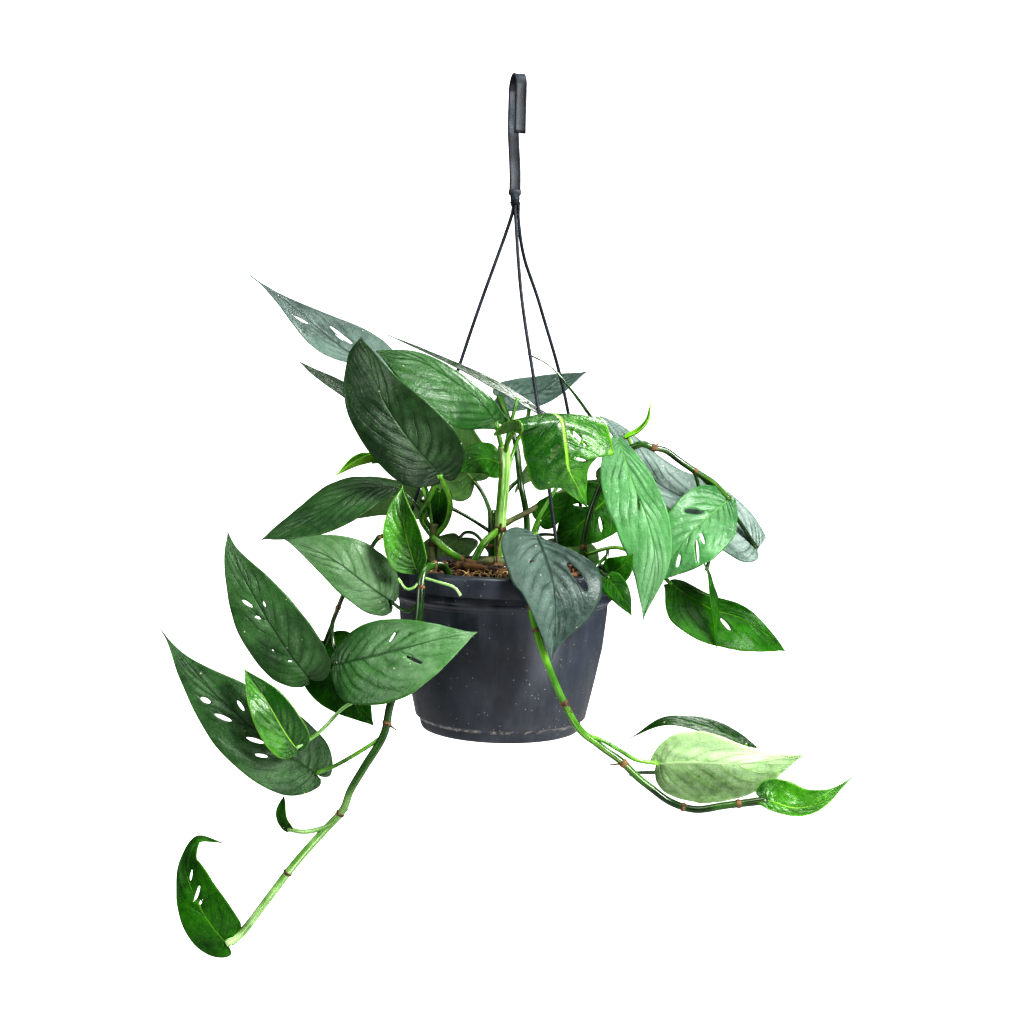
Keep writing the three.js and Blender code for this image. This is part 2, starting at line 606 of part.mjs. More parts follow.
function tube(curve, radius, sides, steps) {
  const corners = [];
  for (let i = 0; i < sides; i += 1) {
    const turn = (2 * Math.PI * i) / sides;
    corners.push(new THREE.Vector2(radius * Math.cos(turn), radius * Math.sin(turn)));
  }
  const section = new THREE.Shape(corners);
  return solidOf(new THREE.ExtrudeGeometry(section, { steps, bevelEnabled: false, extrudePath: curve }));
}

// A leaf's own measures, worked out once from its row
function prepared(leaf) {
  const pair = (value) => (Array.isArray(value) ? value : [value, value]);
  const rib = spline(leaf.rib);
  return {
    ...leaf,
    rib,
    length: rib.getLength(),
    faces: leaf.face.length > 1 ? spline(leaf.face) : null,
    face: new THREE.Vector3(...leaf.face[0]),
    fold: pair(leaf.fold ?? 0).map(THREE.MathUtils.degToRad),
    curl: pair(leaf.curl ?? 0.1).map(THREE.MathUtils.degToRad),
    wave: leaf.wave ?? [0, 0, 0],
    outline: leaf.outline ?? bladeOutline,
    taper: pair(leaf.taper ?? 1),
    lean: pair(leaf.lean ?? 0),
    holes: leaf.holes ?? [],
  };
}

// The point and the upward direction of a blade, `along` from base to tip and `across` from -1 to 1
function onBlade(leaf, along, across, grow = 0) {
  const row = leaf.outline.getPoint(along);
  const away = Math.abs(across);
  const side = across < 0 ? 1 : 0;
  const reach = Math.max(row.z, 0) ** leaf.taper[side];
  const slant = leaf.lean[side] * 6.75 * along * (1 - along) ** 2;
  const share = row.x + (row.y - row.x + slant) * away;
  const inside = THREE.MathUtils.clamp(share, 0, 1);
  const ahead = leaf.rib.getTangentAt(inside);
  const up = leaf.faces ? leaf.faces.getPoint(inside) : leaf.face.clone();
  const left = up.cross(ahead).normalize();
  const normal = ahead.clone().cross(left);
  const beyond = (share - inside) * leaf.length + grow * (2 * along - 1);
  const half = leaf.half[side];
  const fold = leaf.fold[side];
  const curl = leaf.curl[side];
  const out = away * (reach * half + grow * Math.min(1, along * 10));
  const flat = (half / curl) * (Math.sin(fold + (curl * out) / half) - Math.sin(fold));
  const lift = (half / curl) * (Math.cos(fold) - Math.cos(fold + (curl * out) / half));
  const [height, count, phase] = leaf.wave;
  const turn = count * along + phase + (side ? 0.35 : 0);
  const ripple = height * away * away * reach * Math.sin(2 * Math.PI * turn);
  const point = leaf.rib.getPointAt(inside).addScaledVector(ahead, beyond);
  point.addScaledVector(left, side ? -flat : flat).addScaledVector(normal, lift + ripple);
  return { point, normal };
}

// A thin sheet through the blade's rows, split into triangles alike on both faces
function blade(leaf, grow = 0) {
  const rows = leaf.length > longLeaf ? longLeafRows : shortLeafRows;
  const half = bladeThickness / 2 + grow;
  const positions = [];
  for (const level of [half, -half]) {
    for (const along of rows) {
      for (const across of bladeColumns) {
        const { point, normal } = onBlade(leaf, along, across, grow);
        positions.push(...point.addScaledVector(normal, level).toArray());
      }
    }
  }
  const wide = bladeColumns.length;
  const under = rows.length * wide;
  const faces = [];
  const quad = (a, b, c, d) => faces.push(a, b, c, a, c, d);
  for (let r = 0; r < rows.length - 1; r += 1) {
    for (let c = 0; c < wide - 1; c += 1) {
      const a = r * wide + c;
      quad(a, a + wide, a + 1 + wide, a + 1);
      faces.push(under + a, under + a + 1 + wide, under + a + wide);
      faces.push(under + a, under + a + 1, under + a + 1 + wide);
    }
    const first = r * wide;
    const last = first + wide - 1;
    quad(first, under + first, under + first + wide, first + wide);
    quad(last, last + wide, under + last + wide, under + last);
  }
  const top = (rows.length - 1) * wide;
  for (let c = 0; c < wide - 1; c += 1) {
    quad(c, c + 1, under + c + 1, under + c);
    quad(top + c, under + top + c, under + top + c + 1, top + c + 1);
  }
  const geometry = new THREE.BufferGeometry();
  geometry.setAttribute('position', new THREE.Float32BufferAttribute(positions, 3));
  geometry.setIndex(faces);
  return solidOf(geometry);
}

// A hole or slit runs between two points of the blade
function bladeHole(leaf, [along, across, endAlong, endAcross, width]) {
  const from = onBlade(leaf, along, across);
  const to = onBlade(leaf, endAlong, endAcross);
  const lengthwise = to.point.clone().sub(from.point);
  const length = lengthwise.length();
  lengthwise.normalize();
  const sideways = lengthwise.clone().cross(from.normal.clone().add(to.normal)).normalize();
  const through = sideways.clone().cross(lengthwise);
  const cutter = new THREE.CylinderGeometry(0.5, 0.5, 8, 6).scale(length, 1, width);
  cutter.applyMatrix4(new THREE.Matrix4().makeBasis(lengthwise, through, sideways));
  return solidOf(cutter.translate(...from.point.lerp(to.point, 0.5).toArray()));
}

function leafSolid(leaf) {
  let solid = blade(leaf);
  for (const hole of leaf.holes) {
    solid = solid.subtract(bladeHole(leaf, hole));
  }
  return largestPiece(solid);
}

// A way of a shoot ends inside the base of its leaf, and the leaf's room is cut out of it later
function wayCurve(way, leafByName) {
  const points = [...way.points];
  if (way.to) {
    const leaf = leafByName.get(way.to);
    const base = leaf.rib.getPointAt(0);
    const ahead = leaf.rib.getTangentAt(0);
    points.push(base.addScaledVector(ahead, 1.5).toArray());
  }
  return spline(points);
}

function shootSolid(shoot, leafByName, grow = 0) {
  let solid = null;
  for (const way of shoot.ways) {
    const curve = wayCurve(way, leafByName);
    const steps = Math.max(2, Math.round(curve.getLength() / stemStep));
    const piece = tube(curve, way.radius + grow, stemSides, steps);
    solid = solid ? solid.add(piece) : piece;
  }
  return solid;
}

function potSolid() {
  const bandBottom = rimTop - rimBandDepth;
  const floor = potBottom + baseRecess + wall;
  const profile = [
    [0, floor], [footRadius - 4, floor], [66.8, -506], [79, -449], [82.2, -412], [83, rimTop],
    [rimRadius - 1.5, rimTop], [rimRadius, rimTop - 1.5], [rimRadius, bandBottom],
    [rimRadius - wall, bandBottom], [rimRadius - wall, rimTop - wall], [collarRadius, rimTop - wall],
    [collarRadius, collarBottom], [bodyTopRadius, collarBottom - 2.5], [80.6, -449], [75.4, -475],
    [68.6, -506], [footRadius, -508], [footRadius - 0.5, -512],
    [footRadius - footLip / 2, potBottom], [footRadius - footLip, potBottom],
    [footRadius - footLip - 1.5, potBottom + baseRecess], [0, potBottom + baseRecess],
  ];
  let pot = turned(profile.reverse(), potSides);
  for (let i = 0; i < drainHoles; i += 1) {
    const turn = (2 * Math.PI * i) / drainHoles;
    const hole = roundBar(drainRadius, potBottom - 1, floor + 1, 10);
    hole.translate(drainCircle * Math.cos(turn), drainCircle * Math.sin(turn), 0);
    pot = pot.subtract(solidOf(hole));
  }
  for (const strand of strands) {
    const [x, y] = strandPlace(strand);
    const hole = roundBar(strandHoleRadius, rimTop - wall - 2, rimTop + 2, 8);
    pot = pot.subtract(solidOf(hole.translate(x, y, 0)));
  }
  return pot;
}

function strandPlace(strand) {
  const angle = THREE.MathUtils.degToRad(strand.angle);
  return [strandCircle * Math.sin(angle), -strandCircle * Math.cos(angle)];
}

// Soil with a lumpy top, from the pot's floor to just under its rim
function soilSolid() {
  const floor = potBottom + baseRecess + wall + soilGap;
  const crown = (radius) => soilCrown + (soilEdge - soilCrown) * (radius / 82) ** 2;
  const profile = [
    [0, soilCrown], [20, crown(20)], [42, crown(42)], [64, crown(64)],
    [81.8, soilEdge], [81.6, -412], [78.4, -449], [66, -506], [footRadius - 5, floor], [0, floor],
  ];
  const points = profile.map(([radius, height]) => new THREE.Vector2(radius, height));
  const geometry = new THREE.LatheGeometry(points.reverse(), potSides).rotateX(Math.PI / 2);
  const position = geometry.attributes.position;
  for (let i = 0; i < position.count; i += 1) {
    const [x, y, z] = [position.getX(i), position.getY(i), position.getZ(i)];
    const inner = Math.hypot(x, y) < 80 && z > soilEdge - 2;
    const lump = 1.6 * Math.sin(0.19 * x + 1.1) * Math.cos(0.23 * y) + 0.8 * Math.sin(0.41 * (x + y));
    position.setZ(i, inner ? z + lump : z);
  }
  return solidOf(geometry);
}

// The hook is cut from a flat strap: up the back, over the crown and down towards the front
function hookSolid() {
  const outer = hookThroatRadius + hookStrap;
  const shape = new THREE.Shape();
  shape.moveTo(-hookStrap / 2, hookShankEnd);
  shape.lineTo(hookStrap / 2, hookShankEnd);
  shape.lineTo(hookStrap / 2, -76);
  shape.bezierCurveTo(hookStrap / 2, -60, outer, -52, outer, -34);
  shape.lineTo(outer, -hookThroatRadius);
  shape.absarc(0, -hookThroatRadius, outer, 0, Math.PI, false);
  shape.lineTo(-outer, -hookThroatRadius - hookTipDrop);
  shape.lineTo(-hookThroatRadius, -hookThroatRadius - hookTipDrop);
  shape.lineTo(-hookThroatRadius, -hookThroatRadius);
  shape.absarc(0, -hookThroatRadius, hookThroatRadius, Math.PI, 0, true);
  shape.lineTo(hookThroatRadius, -33);
  shape.bezierCurveTo(hookThroatRadius, -51, -hookStrap / 2, -59, -hookStrap / 2, -76);
  const cut = { depth: hookWidth, bevelEnabled: false, curveSegments: 7 };
  const strap = new THREE.ExtrudeGeometry(shape, cut);
  strap.rotateX(Math.PI / 2).rotateZ(Math.PI / 2).translate(-hookWidth / 2, 0, 0);
  strap.rotateZ(THREE.MathUtils.degToRad(hookTurn));
  const block = new THREE.BoxGeometry(9, 7, 6).translate(0, 0, hookShankEnd - 1);
  const stub = new THREE.CylinderGeometry(3, 4.4, 9, 8).rotateX(-Math.PI / 2);
  stub.translate(0.4, 0, hookShankEnd - 7);
  return solidOf(strap).add(solidOf(block)).add(solidOf(stub));
}

// A strand runs on through its hole in the rim and ends in a small barb
function strandSolid(strand) {
  const [x, y] = strandPlace(strand);
  const hole = new THREE.Vector3(x, y, rimTop - wall / 2);
  const slope = hole.clone().sub(new THREE.Vector3(...strand.through.at(-1))).normalize();
  const foot = hole.clone().addScaledVector(slope, strandTail);
  const course = spline([strand.start, ...strand.through, hole.toArray(), foot.toArray()]);
  const line = tube(course, strandRadius, 6, 9);
  const barb = new THREE.ConeGeometry(2.3, 3, 6).rotateX(Math.PI / 2).translate(foot.x, foot.y, foot.z + 0.5);
  return line.add(solidOf(barb));
}

const potted = new THREE.Group();
const prepareds = leaves.map(prepared);
const leafByName = new Map(prepareds.map((leaf) => [leaf.name, leaf]));
const grownBlades = prepareds.map((leaf) => blade(leaf, clearance));

addMesh(potted, 'pot', potSolid(), colours.plastic, 0.5);

let soil = soilSolid();
for (const shoot of shoots) {
  soil = soil.subtract(shootSolid(shoot, leafByName, clearance));
}
addMesh(potted, 'soil', largestPiece(soil), colours.soil, 0.95);

addMesh(potted, 'hanger_hook', hookSolid(), colours.strap, 0.45);
for (const strand of strands) {
  addMesh(potted, strand.name, strandSolid(strand), colours.strap, 0.45);
}

for (const shoot of shoots) {
  let solid = shootSolid(shoot, leafByName);
  for (const grown of grownBlades) {
    solid = solid.subtract(grown);
  }
  addMesh(potted, shoot.name, largestPiece(solid), colours.stem, 0.5);
}

for (const leaf of prepareds) {
  addMesh(potted, leaf.name, leafSolid(leaf), colours[leaf.tone], 0.45);
}

export default potted;
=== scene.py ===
# A trailing vine with slender blue-green leaves in a hanging nursery pot.
# Metres, +Z up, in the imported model's frame: the origin is the inside of the hook's crown.
import math
import random

import bmesh
import bpy
from mathutils import Matrix, Vector, noise


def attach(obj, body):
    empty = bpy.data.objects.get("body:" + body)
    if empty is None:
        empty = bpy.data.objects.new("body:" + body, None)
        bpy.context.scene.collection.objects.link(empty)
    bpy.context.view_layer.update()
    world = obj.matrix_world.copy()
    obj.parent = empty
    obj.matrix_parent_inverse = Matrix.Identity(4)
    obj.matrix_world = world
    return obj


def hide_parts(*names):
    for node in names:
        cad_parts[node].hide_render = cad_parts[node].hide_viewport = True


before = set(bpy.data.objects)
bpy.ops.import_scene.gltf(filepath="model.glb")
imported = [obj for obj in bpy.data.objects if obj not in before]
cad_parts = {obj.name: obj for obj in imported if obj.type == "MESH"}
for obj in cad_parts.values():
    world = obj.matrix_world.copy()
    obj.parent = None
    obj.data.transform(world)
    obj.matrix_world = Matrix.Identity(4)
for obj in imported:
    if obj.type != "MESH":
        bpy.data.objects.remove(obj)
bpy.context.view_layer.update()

scene = bpy.context.scene

# Camera. It stands a little over a metre off, at the height of the plant's crown, looks slightly
# down, and is rolled a little, as the pot hangs in the photograph.
look_down = math.radians(3.46)
roll = math.radians(1.6)
ahead = Vector((0, math.cos(look_down), -math.sin(look_down)))
level = Vector((1, 0, 0))
upright = level.cross(ahead)
right = level * math.cos(roll) + upright * math.sin(roll)
top = upright * math.cos(roll) - level * math.sin(roll)
stand = Vector((0.0048, -1.138, -0.274))
camera_data = bpy.data.cameras.new("camera")
camera_data.lens = 50
camera_data.sensor_width = 36
camera = bpy.data.objects.new("camera", camera_data)
camera.matrix_world = Matrix.LocRotScale(stand, Matrix((right, top, -ahead)).transposed(), None)
scene.collection.objects.link(camera)
scene.camera = camera


# Floor. A wide pale sheet well below the hanging vines, part of the studio and not of the plant. It
# looks pure white behind the plant, as the photograph's backdrop does.
FLOOR_HEIGHT = -1.0
FLOOR_REACH = 30
BACKDROP_WHITE = 1.6


def put(tree, kind, sockets=None, **own):
    """Adds a node, sets its own properties, and fills or wires its input sockets."""
    node = tree.nodes.new(kind)
    for key, value in own.items():
        setattr(node, key, value)
    for key, value in (sockets or {}).items():
        if isinstance(value, bpy.types.NodeSocket):
            tree.links.new(value, node.inputs[key])
        else:
            node.inputs[key].default_value = value
    return node


def paint(red, green, blue):
    """A colour read from 0 to 255 on screen, as the linear light that a material takes."""
    return (*[((c / 255 + 0.055) / 1.055) ** 2.4 if c > 10 else c / 3294.6 for c in (red, green, blue)], 1)


def finish_of(name):
    """A new material with its tree and its main shader."""
    material = bpy.data.materials.new(name)
    material.use_nodes = True
    return material, material.node_tree, material.node_tree.nodes["Principled BSDF"]


def piece_of(bm, name, *materials):
    """Turns a finished bmesh into an object at the origin, smooth shaded."""
    mesh = bpy.data.meshes.new(name)
    bm.to_mesh(mesh)
    bm.free()
    mesh.shade_smooth()
    for material in materials:
        mesh.materials.append(material)
    piece = bpy.data.objects.new(name, mesh)
    scene.collection.objects.link(piece)
    return piece


floor_paint, tree, shader = finish_of("floor_paint")
shader.inputs["Base Color"].default_value = (0.5, 0.5, 0.5, 1)
shader.inputs["Roughness"].default_value = 0.9
seen = put(tree, "ShaderNodeLightPath").outputs["Is Camera Ray"]
backdrop = put(tree, "ShaderNodeEmission", {"Color": (1, 1, 1, 1), "Strength": BACKDROP_WHITE})
both = put(tree, "ShaderNodeMixShader", {0: seen, 1: shader.outputs[0], 2: backdrop.outputs[0]})
tree.links.new(both.outputs[0], tree.nodes["Material Output"].inputs["Surface"])
bm = bmesh.new()
bmesh.ops.create_grid(bm, x_segments=4, y_segments=4, size=FLOOR_REACH,
                      matrix=Matrix.Translation((0, 0, FLOOR_HEIGHT)))
floor = piece_of(bm, "floor", floor_paint)

# Light. A white studio: a pure white backdrop, a dim even surround, a large soft key from the upper
# right in front, and weaker ones from the left, above and behind, and low on the right.
SURROUND_LIGHT = 0.16
AIM = Vector((0, 0, -0.35))
scene.view_settings.view_transform = "Standard"
scene.view_settings.look = "High Contrast"
scene.world = bpy.data.worlds.new("studio")
scene.world.use_nodes = True
tree = scene.world.node_tree
seen = put(tree, "ShaderNodeLightPath").outputs["Is Camera Ray"]
surround = tree.nodes["Background"]
surround.inputs["Color"].default_value = (1, 1, 1, 1)
glow = put(tree, "ShaderNodeMapRange", {"Value": seen, "To Min": SURROUND_LIGHT, "To Max": BACKDROP_WHITE})
tree.links.new(glow.outputs["Result"], surround.inputs["Strength"])


def softbox(name, place, size, power):
    """A round soft lamp that looks at the plant."""
    lamp = bpy.data.lights.new(name, "AREA")
    lamp.shape = "DISK"
    lamp.size = size
    lamp.energy = power
    holder = bpy.data.objects.new(name, lamp)
    turn = (AIM - Vector(place)).to_track_quat("-Z", "Y")
    holder.matrix_world = Matrix.LocRotScale(Vector(place), turn, None)
    scene.collection.objects.link(holder)


softbox("key", (1.15, -1.15, 0.6), 0.7, 56)
softbox("side", (-1.5, -1.1, 0.4), 0.9, 18)
softbox("above", (0.1, -0.2, 1.3), 1.0, 20)
softbox("behind", (0.9, 1.4, 0.7), 0.8, 27)
softbox("low", (1.25, -1.0, -0.85), 0.6, 12)


# Nursery pot. One thin shell of black injection-moulded plastic, tapered, with a rim band that
# stands out, a collar below it and a foot lip. Drain holes are moulded in, and three small holes
# in the rim take the strands.
RIM_TOP = -0.387
RIM_RADIUS = 0.095
POT_BOTTOM = -0.517
FOOT_RIDGE = -0.5078
WALL = 0.0018
DRAIN_HOLES = 6
DRAIN_RADIUS = 0.005
DRAIN_CIRCLE = 0.038
STRAND_HOLE = 0.0019
STRAND_CIRCLE = 0.089
STRAND_TURNS = {"left": -91, "front": 29, "right": 129}


def strand_hole(turn):
    """The middle of a strand's hole in the rim, by its angle from the front towards +X."""
    angle = math.radians(turn)
    return Vector((STRAND_CIRCLE * math.sin(angle), -STRAND_CIRCLE * math.cos(angle), RIM_TOP - WALL / 2))


def turned(profile, segments):
    """A shell turned round the pot's axis from a closed profile of radius and height."""
    bm = bmesh.new()
    corners = [bm.verts.new((radius, 0, height)) for radius, height in profile]
    edges = [bm.edges.new(pair) for pair in zip(corners, corners[1:])]
    bmesh.ops.spin(bm, geom=corners + edges, cent=(0, 0, 0), axis=(0, 0, 1),
                   angle=math.tau, steps=segments, use_merge=True)
    bmesh.ops.remove_doubles(bm, verts=bm.verts, dist=1e-6)
    bmesh.ops.recalc_face_normals(bm, faces=bm.faces)
    return bm


band_bottom = RIM_TOP - 0.015
inner_floor = POT_BOTTOM + 0.0043
pot_profile = [
    (0, POT_BOTTOM + 0.0025), (0.0555, POT_BOTTOM + 0.0025), (0.057, POT_BOTTOM), (0.061, POT_BOTTOM),
    (0.0632, -0.5162), (0.0645, -0.5135), (0.0652, -0.5092), (0.0664, FOOT_RIDGE), (0.0686, -0.506),
    (0.0754, -0.475), (0.0806, -0.449), (0.0832, -0.424), (0.0838, -0.4145), (0.0846, -0.4138),
    (0.0846, -0.4128), (0.087, -0.4105), (0.0872, -0.4085), (0.0867, -0.408), (0.087, -0.4045),
    (0.087, RIM_TOP - WALL), (RIM_RADIUS - WALL, RIM_TOP - WALL), (RIM_RADIUS - WALL, band_bottom),
    (RIM_RADIUS, band_bottom), (RIM_RADIUS, RIM_TOP - 0.0015), (RIM_RADIUS - 0.0015, RIM_TOP),
    (0.083, RIM_TOP), (0.0822, -0.412), (0.079, -0.449), (0.0668, -0.506), (0.061, inner_floor),
    (0, inner_floor),
]
bm = turned(pot_profile, 112)
sharp = [e for e in bm.edges if len(e.link_faces) == 2 and e.calc_face_angle(0) > math.radians(24)]
bmesh.ops.bevel(bm, geom=sharp, offset=0.0005, offset_type="OFFSET", segments=2, profile=0.5,
                affect="EDGES", material=-1, clamp_overlap=True)
bmesh.ops.recalc_face_normals(bm, faces=bm.faces)


def effect_of(name, inputs, outputs):
    """A node group with named number inputs, and outputs that are values or colours."""
    group = bpy.data.node_groups.new(name, "ShaderNodeTree")
    for label, value in inputs.items():
        group.interface.new_socket(label, in_out="INPUT", socket_type="NodeSocketFloat").default_value = value
    for label in outputs:
        group.interface.new_socket(label, in_out="OUTPUT", socket_type="NodeSocketFloat")
    return group, put(group, "NodeGroupInput"), put(group, "NodeGroupOutput")


def maths(tree, how, a, b=0.5, c=0.0):
    """The result of a sum on two or three values or sockets."""
    return put(tree, "ShaderNodeMath", {0: a, 1: b, 2: c}, operation=how).outputs[0]


def between(tree, value, low, high, start=0.0, end=1.0):
    """Runs smoothly from start to end as the value goes from low to high."""
    return put(tree, "ShaderNodeMapRange", {"Value": value, "From Min": low, "From Max": high,
                                            "To Min": start, "To Max": end},
               interpolation_type="SMOOTHSTEP").outputs["Result"]


def blend_of(tree, share, under, over):
    """Two colours or sockets mixed by a share."""
    return put(tree, "ShaderNodeMix", {0: share, 6: under, 7: over}, data_type="RGBA").outputs[2]


def tinted(tree, skin, share, amount, colour):
    """A colour laid over a skin by a share, and at most by the amount."""
    return blend_of(tree, maths(tree, "MULTIPLY", share, amount), skin, paint(*colour))


def noise_of(tree, place, scale, detail=2.0, roughness=0.5):
    """Cloudy noise, with so many clouds to a metre."""
    return put(tree, "ShaderNodeTexNoise", {"Vector": place, "Scale": scale, "Detail": detail,
                                            "Roughness": roughness}).outputs["Fac"]


def clouds(tree, place, scale, detail, low, high, roughness=0.5, start=0.0, end=1.0):
    """Noise sharpened into patches: start where it is under low, end where it is over high."""
    return between(tree, noise_of(tree, place, scale, detail, roughness), low, high, start, end)


def place_on(tree):
    """Where a point lies on the piece, in metres."""
    return put(tree, "ShaderNodeTexCoord").outputs["Object"]


def bumped(tree, height, strength, depth, **under):
    """The normal of a skin that a value raises, over another bump's Normal where one is given."""
    return put(tree, "ShaderNodeBump", {"Height": height, "Strength": strength, "Distance": depth,
                                        **under}).outputs[0]


def dress(tree, shader, colour, rough, normal=None):
    """Gives the shader its colour, roughness and normal."""
    tree.links.new(colour, shader.inputs["Base Color"])
    if isinstance(rough, bpy.types.NodeSocket):
        tree.links.new(rough, shader.inputs["Roughness"])
    else:
        shader.inputs["Roughness"].default_value = rough
    if normal:
        tree.links.new(normal, shader.inputs["Normal"])


# Dust that has settled in specks, and a worn haze
dust_effect, dust_in, dust_out = effect_of("dust_specks", {"Scale": 300.0, "Amount": 0.5}, ["Speck", "Haze"])
place = place_on(dust_effect)
spots = put(dust_effect, "ShaderNodeTexVoronoi", {"Vector": place, "Scale": dust_in.outputs["Scale"]})
rare = put(dust_effect, "ShaderNodeSeparateColor", {0: spots.outputs["Color"]}).outputs[0]
near = between(dust_effect, spots.outputs["Distance"], 0.08, 0.2, 1.0, 0.0)
some = maths(dust_effect, "LESS_THAN", rare, maths(dust_effect, "MULTIPLY", dust_in.outputs["Amount"], 0.3))
dust_effect.links.new(maths(dust_effect, "MULTIPLY", near, some), dust_out.inputs["Speck"])
dust_effect.links.new(clouds(dust_effect, place, 38, 5, 0.45, 0.75, 0.65), dust_out.inputs["Haze"])

# Charcoal plastic with a drawn grain from the mould, dust, and a worn line on the foot's ridge
pot_plastic, tree, shader = finish_of("pot_plastic")
place = place_on(tree)
height = put(tree, "ShaderNodeSeparateXYZ", {0: place}).outputs["Z"]
dust = put(tree, "ShaderNodeGroup", {"Scale": 420, "Amount": 0.5}, node_tree=dust_effect).outputs
drawn = put(tree, "ShaderNodeMapping", {"Vector": place, "Scale": (1, 1, 0.12)}).outputs[0]
streak = clouds(tree, drawn, 70, 4, 0.42, 0.7, 0.6)
foot = maths(tree, "ABSOLUTE", maths(tree, "SUBTRACT", height, FOOT_RIDGE))
scuff = maths(tree, "MULTIPLY", between(tree, foot, 0.0004, 0.0022, 1.0, 0.0),
              clouds(tree, place, 160, 4, 0.46, 0.6, 0.7))
body = blend_of(tree, clouds(tree, place, 14, 4, 0.3, 0.7), paint(24, 28, 34), paint(42, 48, 58))
body = tinted(tree, body, streak, 0.4, (66, 72, 82))
body = tinted(tree, body, dust["Haze"], 0.3, (74, 75, 80))
body = tinted(tree, body, scuff, 0.8, (150, 144, 134))
body = tinted(tree, body, dust["Speck"], 0.85, (176, 170, 158))
dress(tree, shader, body, between(tree, streak, 0.0, 1.0, 0.34, 0.5),
      bumped(tree, noise_of(tree, place, 1500, 3), 0.25, 0.0002))
shader.inputs["Specular IOR Level"].default_value = 0.5
pot = piece_of(bm, "nursery_pot", pot_plastic)

# Drain holes and strand holes are drilled at once
cutters = bmesh.new()
for i in range(DRAIN_HOLES):
    turn = math.tau * i / DRAIN_HOLES
    spot = Matrix.Translation((DRAIN_CIRCLE * math.cos(turn), DRAIN_CIRCLE * math.sin(turn), POT_BOTTOM))
    bmesh.ops.create_cone(cutters, cap_ends=True, segments=24, radius1=DRAIN_RADIUS, radius2=DRAIN_RADIUS,
                          depth=0.02, matrix=spot)
for turn in STRAND_TURNS.values():
    bmesh.ops.create_cone(cutters, cap_ends=True, segments=16, radius1=STRAND_HOLE, radius2=STRAND_HOLE,
                          depth=0.008, matrix=Matrix.Translation(strand_hole(turn)))
drill = piece_of(cutters, "drill")
cut = pot.modifiers.new("holes", "BOOLEAN")
cut.operation = "DIFFERENCE"
cut.solver = "EXACT"
cut.object = drill
bpy.context.view_layer.update()
drilled = bpy.data.meshes.new_from_object(pot.evaluated_get(bpy.context.evaluated_depsgraph_get()))
pot.modifiers.clear()
pot.data = drilled
bpy.data.objects.remove(drill)
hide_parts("pot")
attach(pot, "root")


# Potting mix. Moist peat fills the pot, a little below the rim at its edge and domed to just above
# it in the middle. Bark chips, a few grains of perlite and fine pale roots lie on top.
BARK_CHIPS = 330
PERLITE_GRAINS = 46


def shaped_grid(bm, steps, sides, place):
    """Lays out a grid of quads and moves each corner to place(u, v), with u and v from 0 to 1."""
    bm.loops.layers.uv.verify()
    made = bmesh.ops.create_grid(bm, x_segments=steps, y_segments=sides, size=0.5, calc_uvs=True)
    for corner in made["verts"]:
        corner.co = place(round(corner.co.x + 0.5, 6), round(corner.co.y + 0.5, 6))
    return made["verts"]


SOIL_CROWN = -0.384
SOIL_RADIUS = 0.0816
SOIL_FALL = 0.01
soil_profile = [(0, SOIL_CROWN), (0.03, -0.3853), (0.055, -0.3885), (0.072, -0.3917),
                (SOIL_RADIUS, SOIL_CROWN - SOIL_FALL), (SOIL_RADIUS, -0.412), (0.0784, -0.449),
                (0.066, -0.506), (0.06, -0.5124), (0, -0.5124)]
TOP_ROWS = 3.9


def soil_at(u, v):
    """A point on the fill: u from the middle of the top to the middle of the base, v round it."""
    reach = u * (len(soil_profile) - 1)
    i = min(int(reach), len(soil_profile) - 2)
    radius, height = [a + (b - a) * (reach - i) for a, b in zip(soil_profile[i], soil_profile[i + 1])]
    point = Vector((radius * math.cos(v * math.tau), radius * math.sin(v * math.tau), height))
    if reach < TOP_ROWS:
        lumps = noise.fractal(point * 90, 0.8, 2.1, 4) * 0.0022 + noise.noise(point * 28) * 0.002
        point.z += lumps * min(1, (TOP_ROWS - reach) * 2)
    return point


bm = bmesh.new()
shaped_grid(bm, 90, 120, soil_at)
bmesh.ops.remove_doubles(bm, verts=bm.verts, dist=1e-6)
bmesh.ops.recalc_face_normals(bm, faces=bm.faces)

potting_mix, tree, shader = finish_of("potting_mix")
place = place_on(tree)
crumbs = noise_of(tree, place, 420, 5, 0.7)
peat = blend_of(tree, between(tree, crumbs, 0.35, 0.65), paint(24, 16, 11), paint(72, 50, 34))
peat = blend_of(tree, clouds(tree, place, 60, 3, 0.55, 0.7), peat, paint(96, 70, 46))
dress(tree, shader, peat, 0.92, bumped(tree, crumbs, 0.9, 0.0015))
soil = piece_of(bm, "potting_mix", potting_mix)
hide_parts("soil")
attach(soil, "root")


def soil_height(x, y):
    """The height of the mix's domed top."""
    return SOIL_CROWN - SOIL_FALL * (math.hypot(x, y) / SOIL_RADIUS) ** 2


draw = random.Random(7)


def scattered(count, reach):
    """Places on the mix, spread evenly over its top."""
    for _ in range(count):
        radius = reach * math.sqrt(draw.random())
        angle = draw.random() * math.tau
        yield radius * math.cos(angle), radius * math.sin(angle)


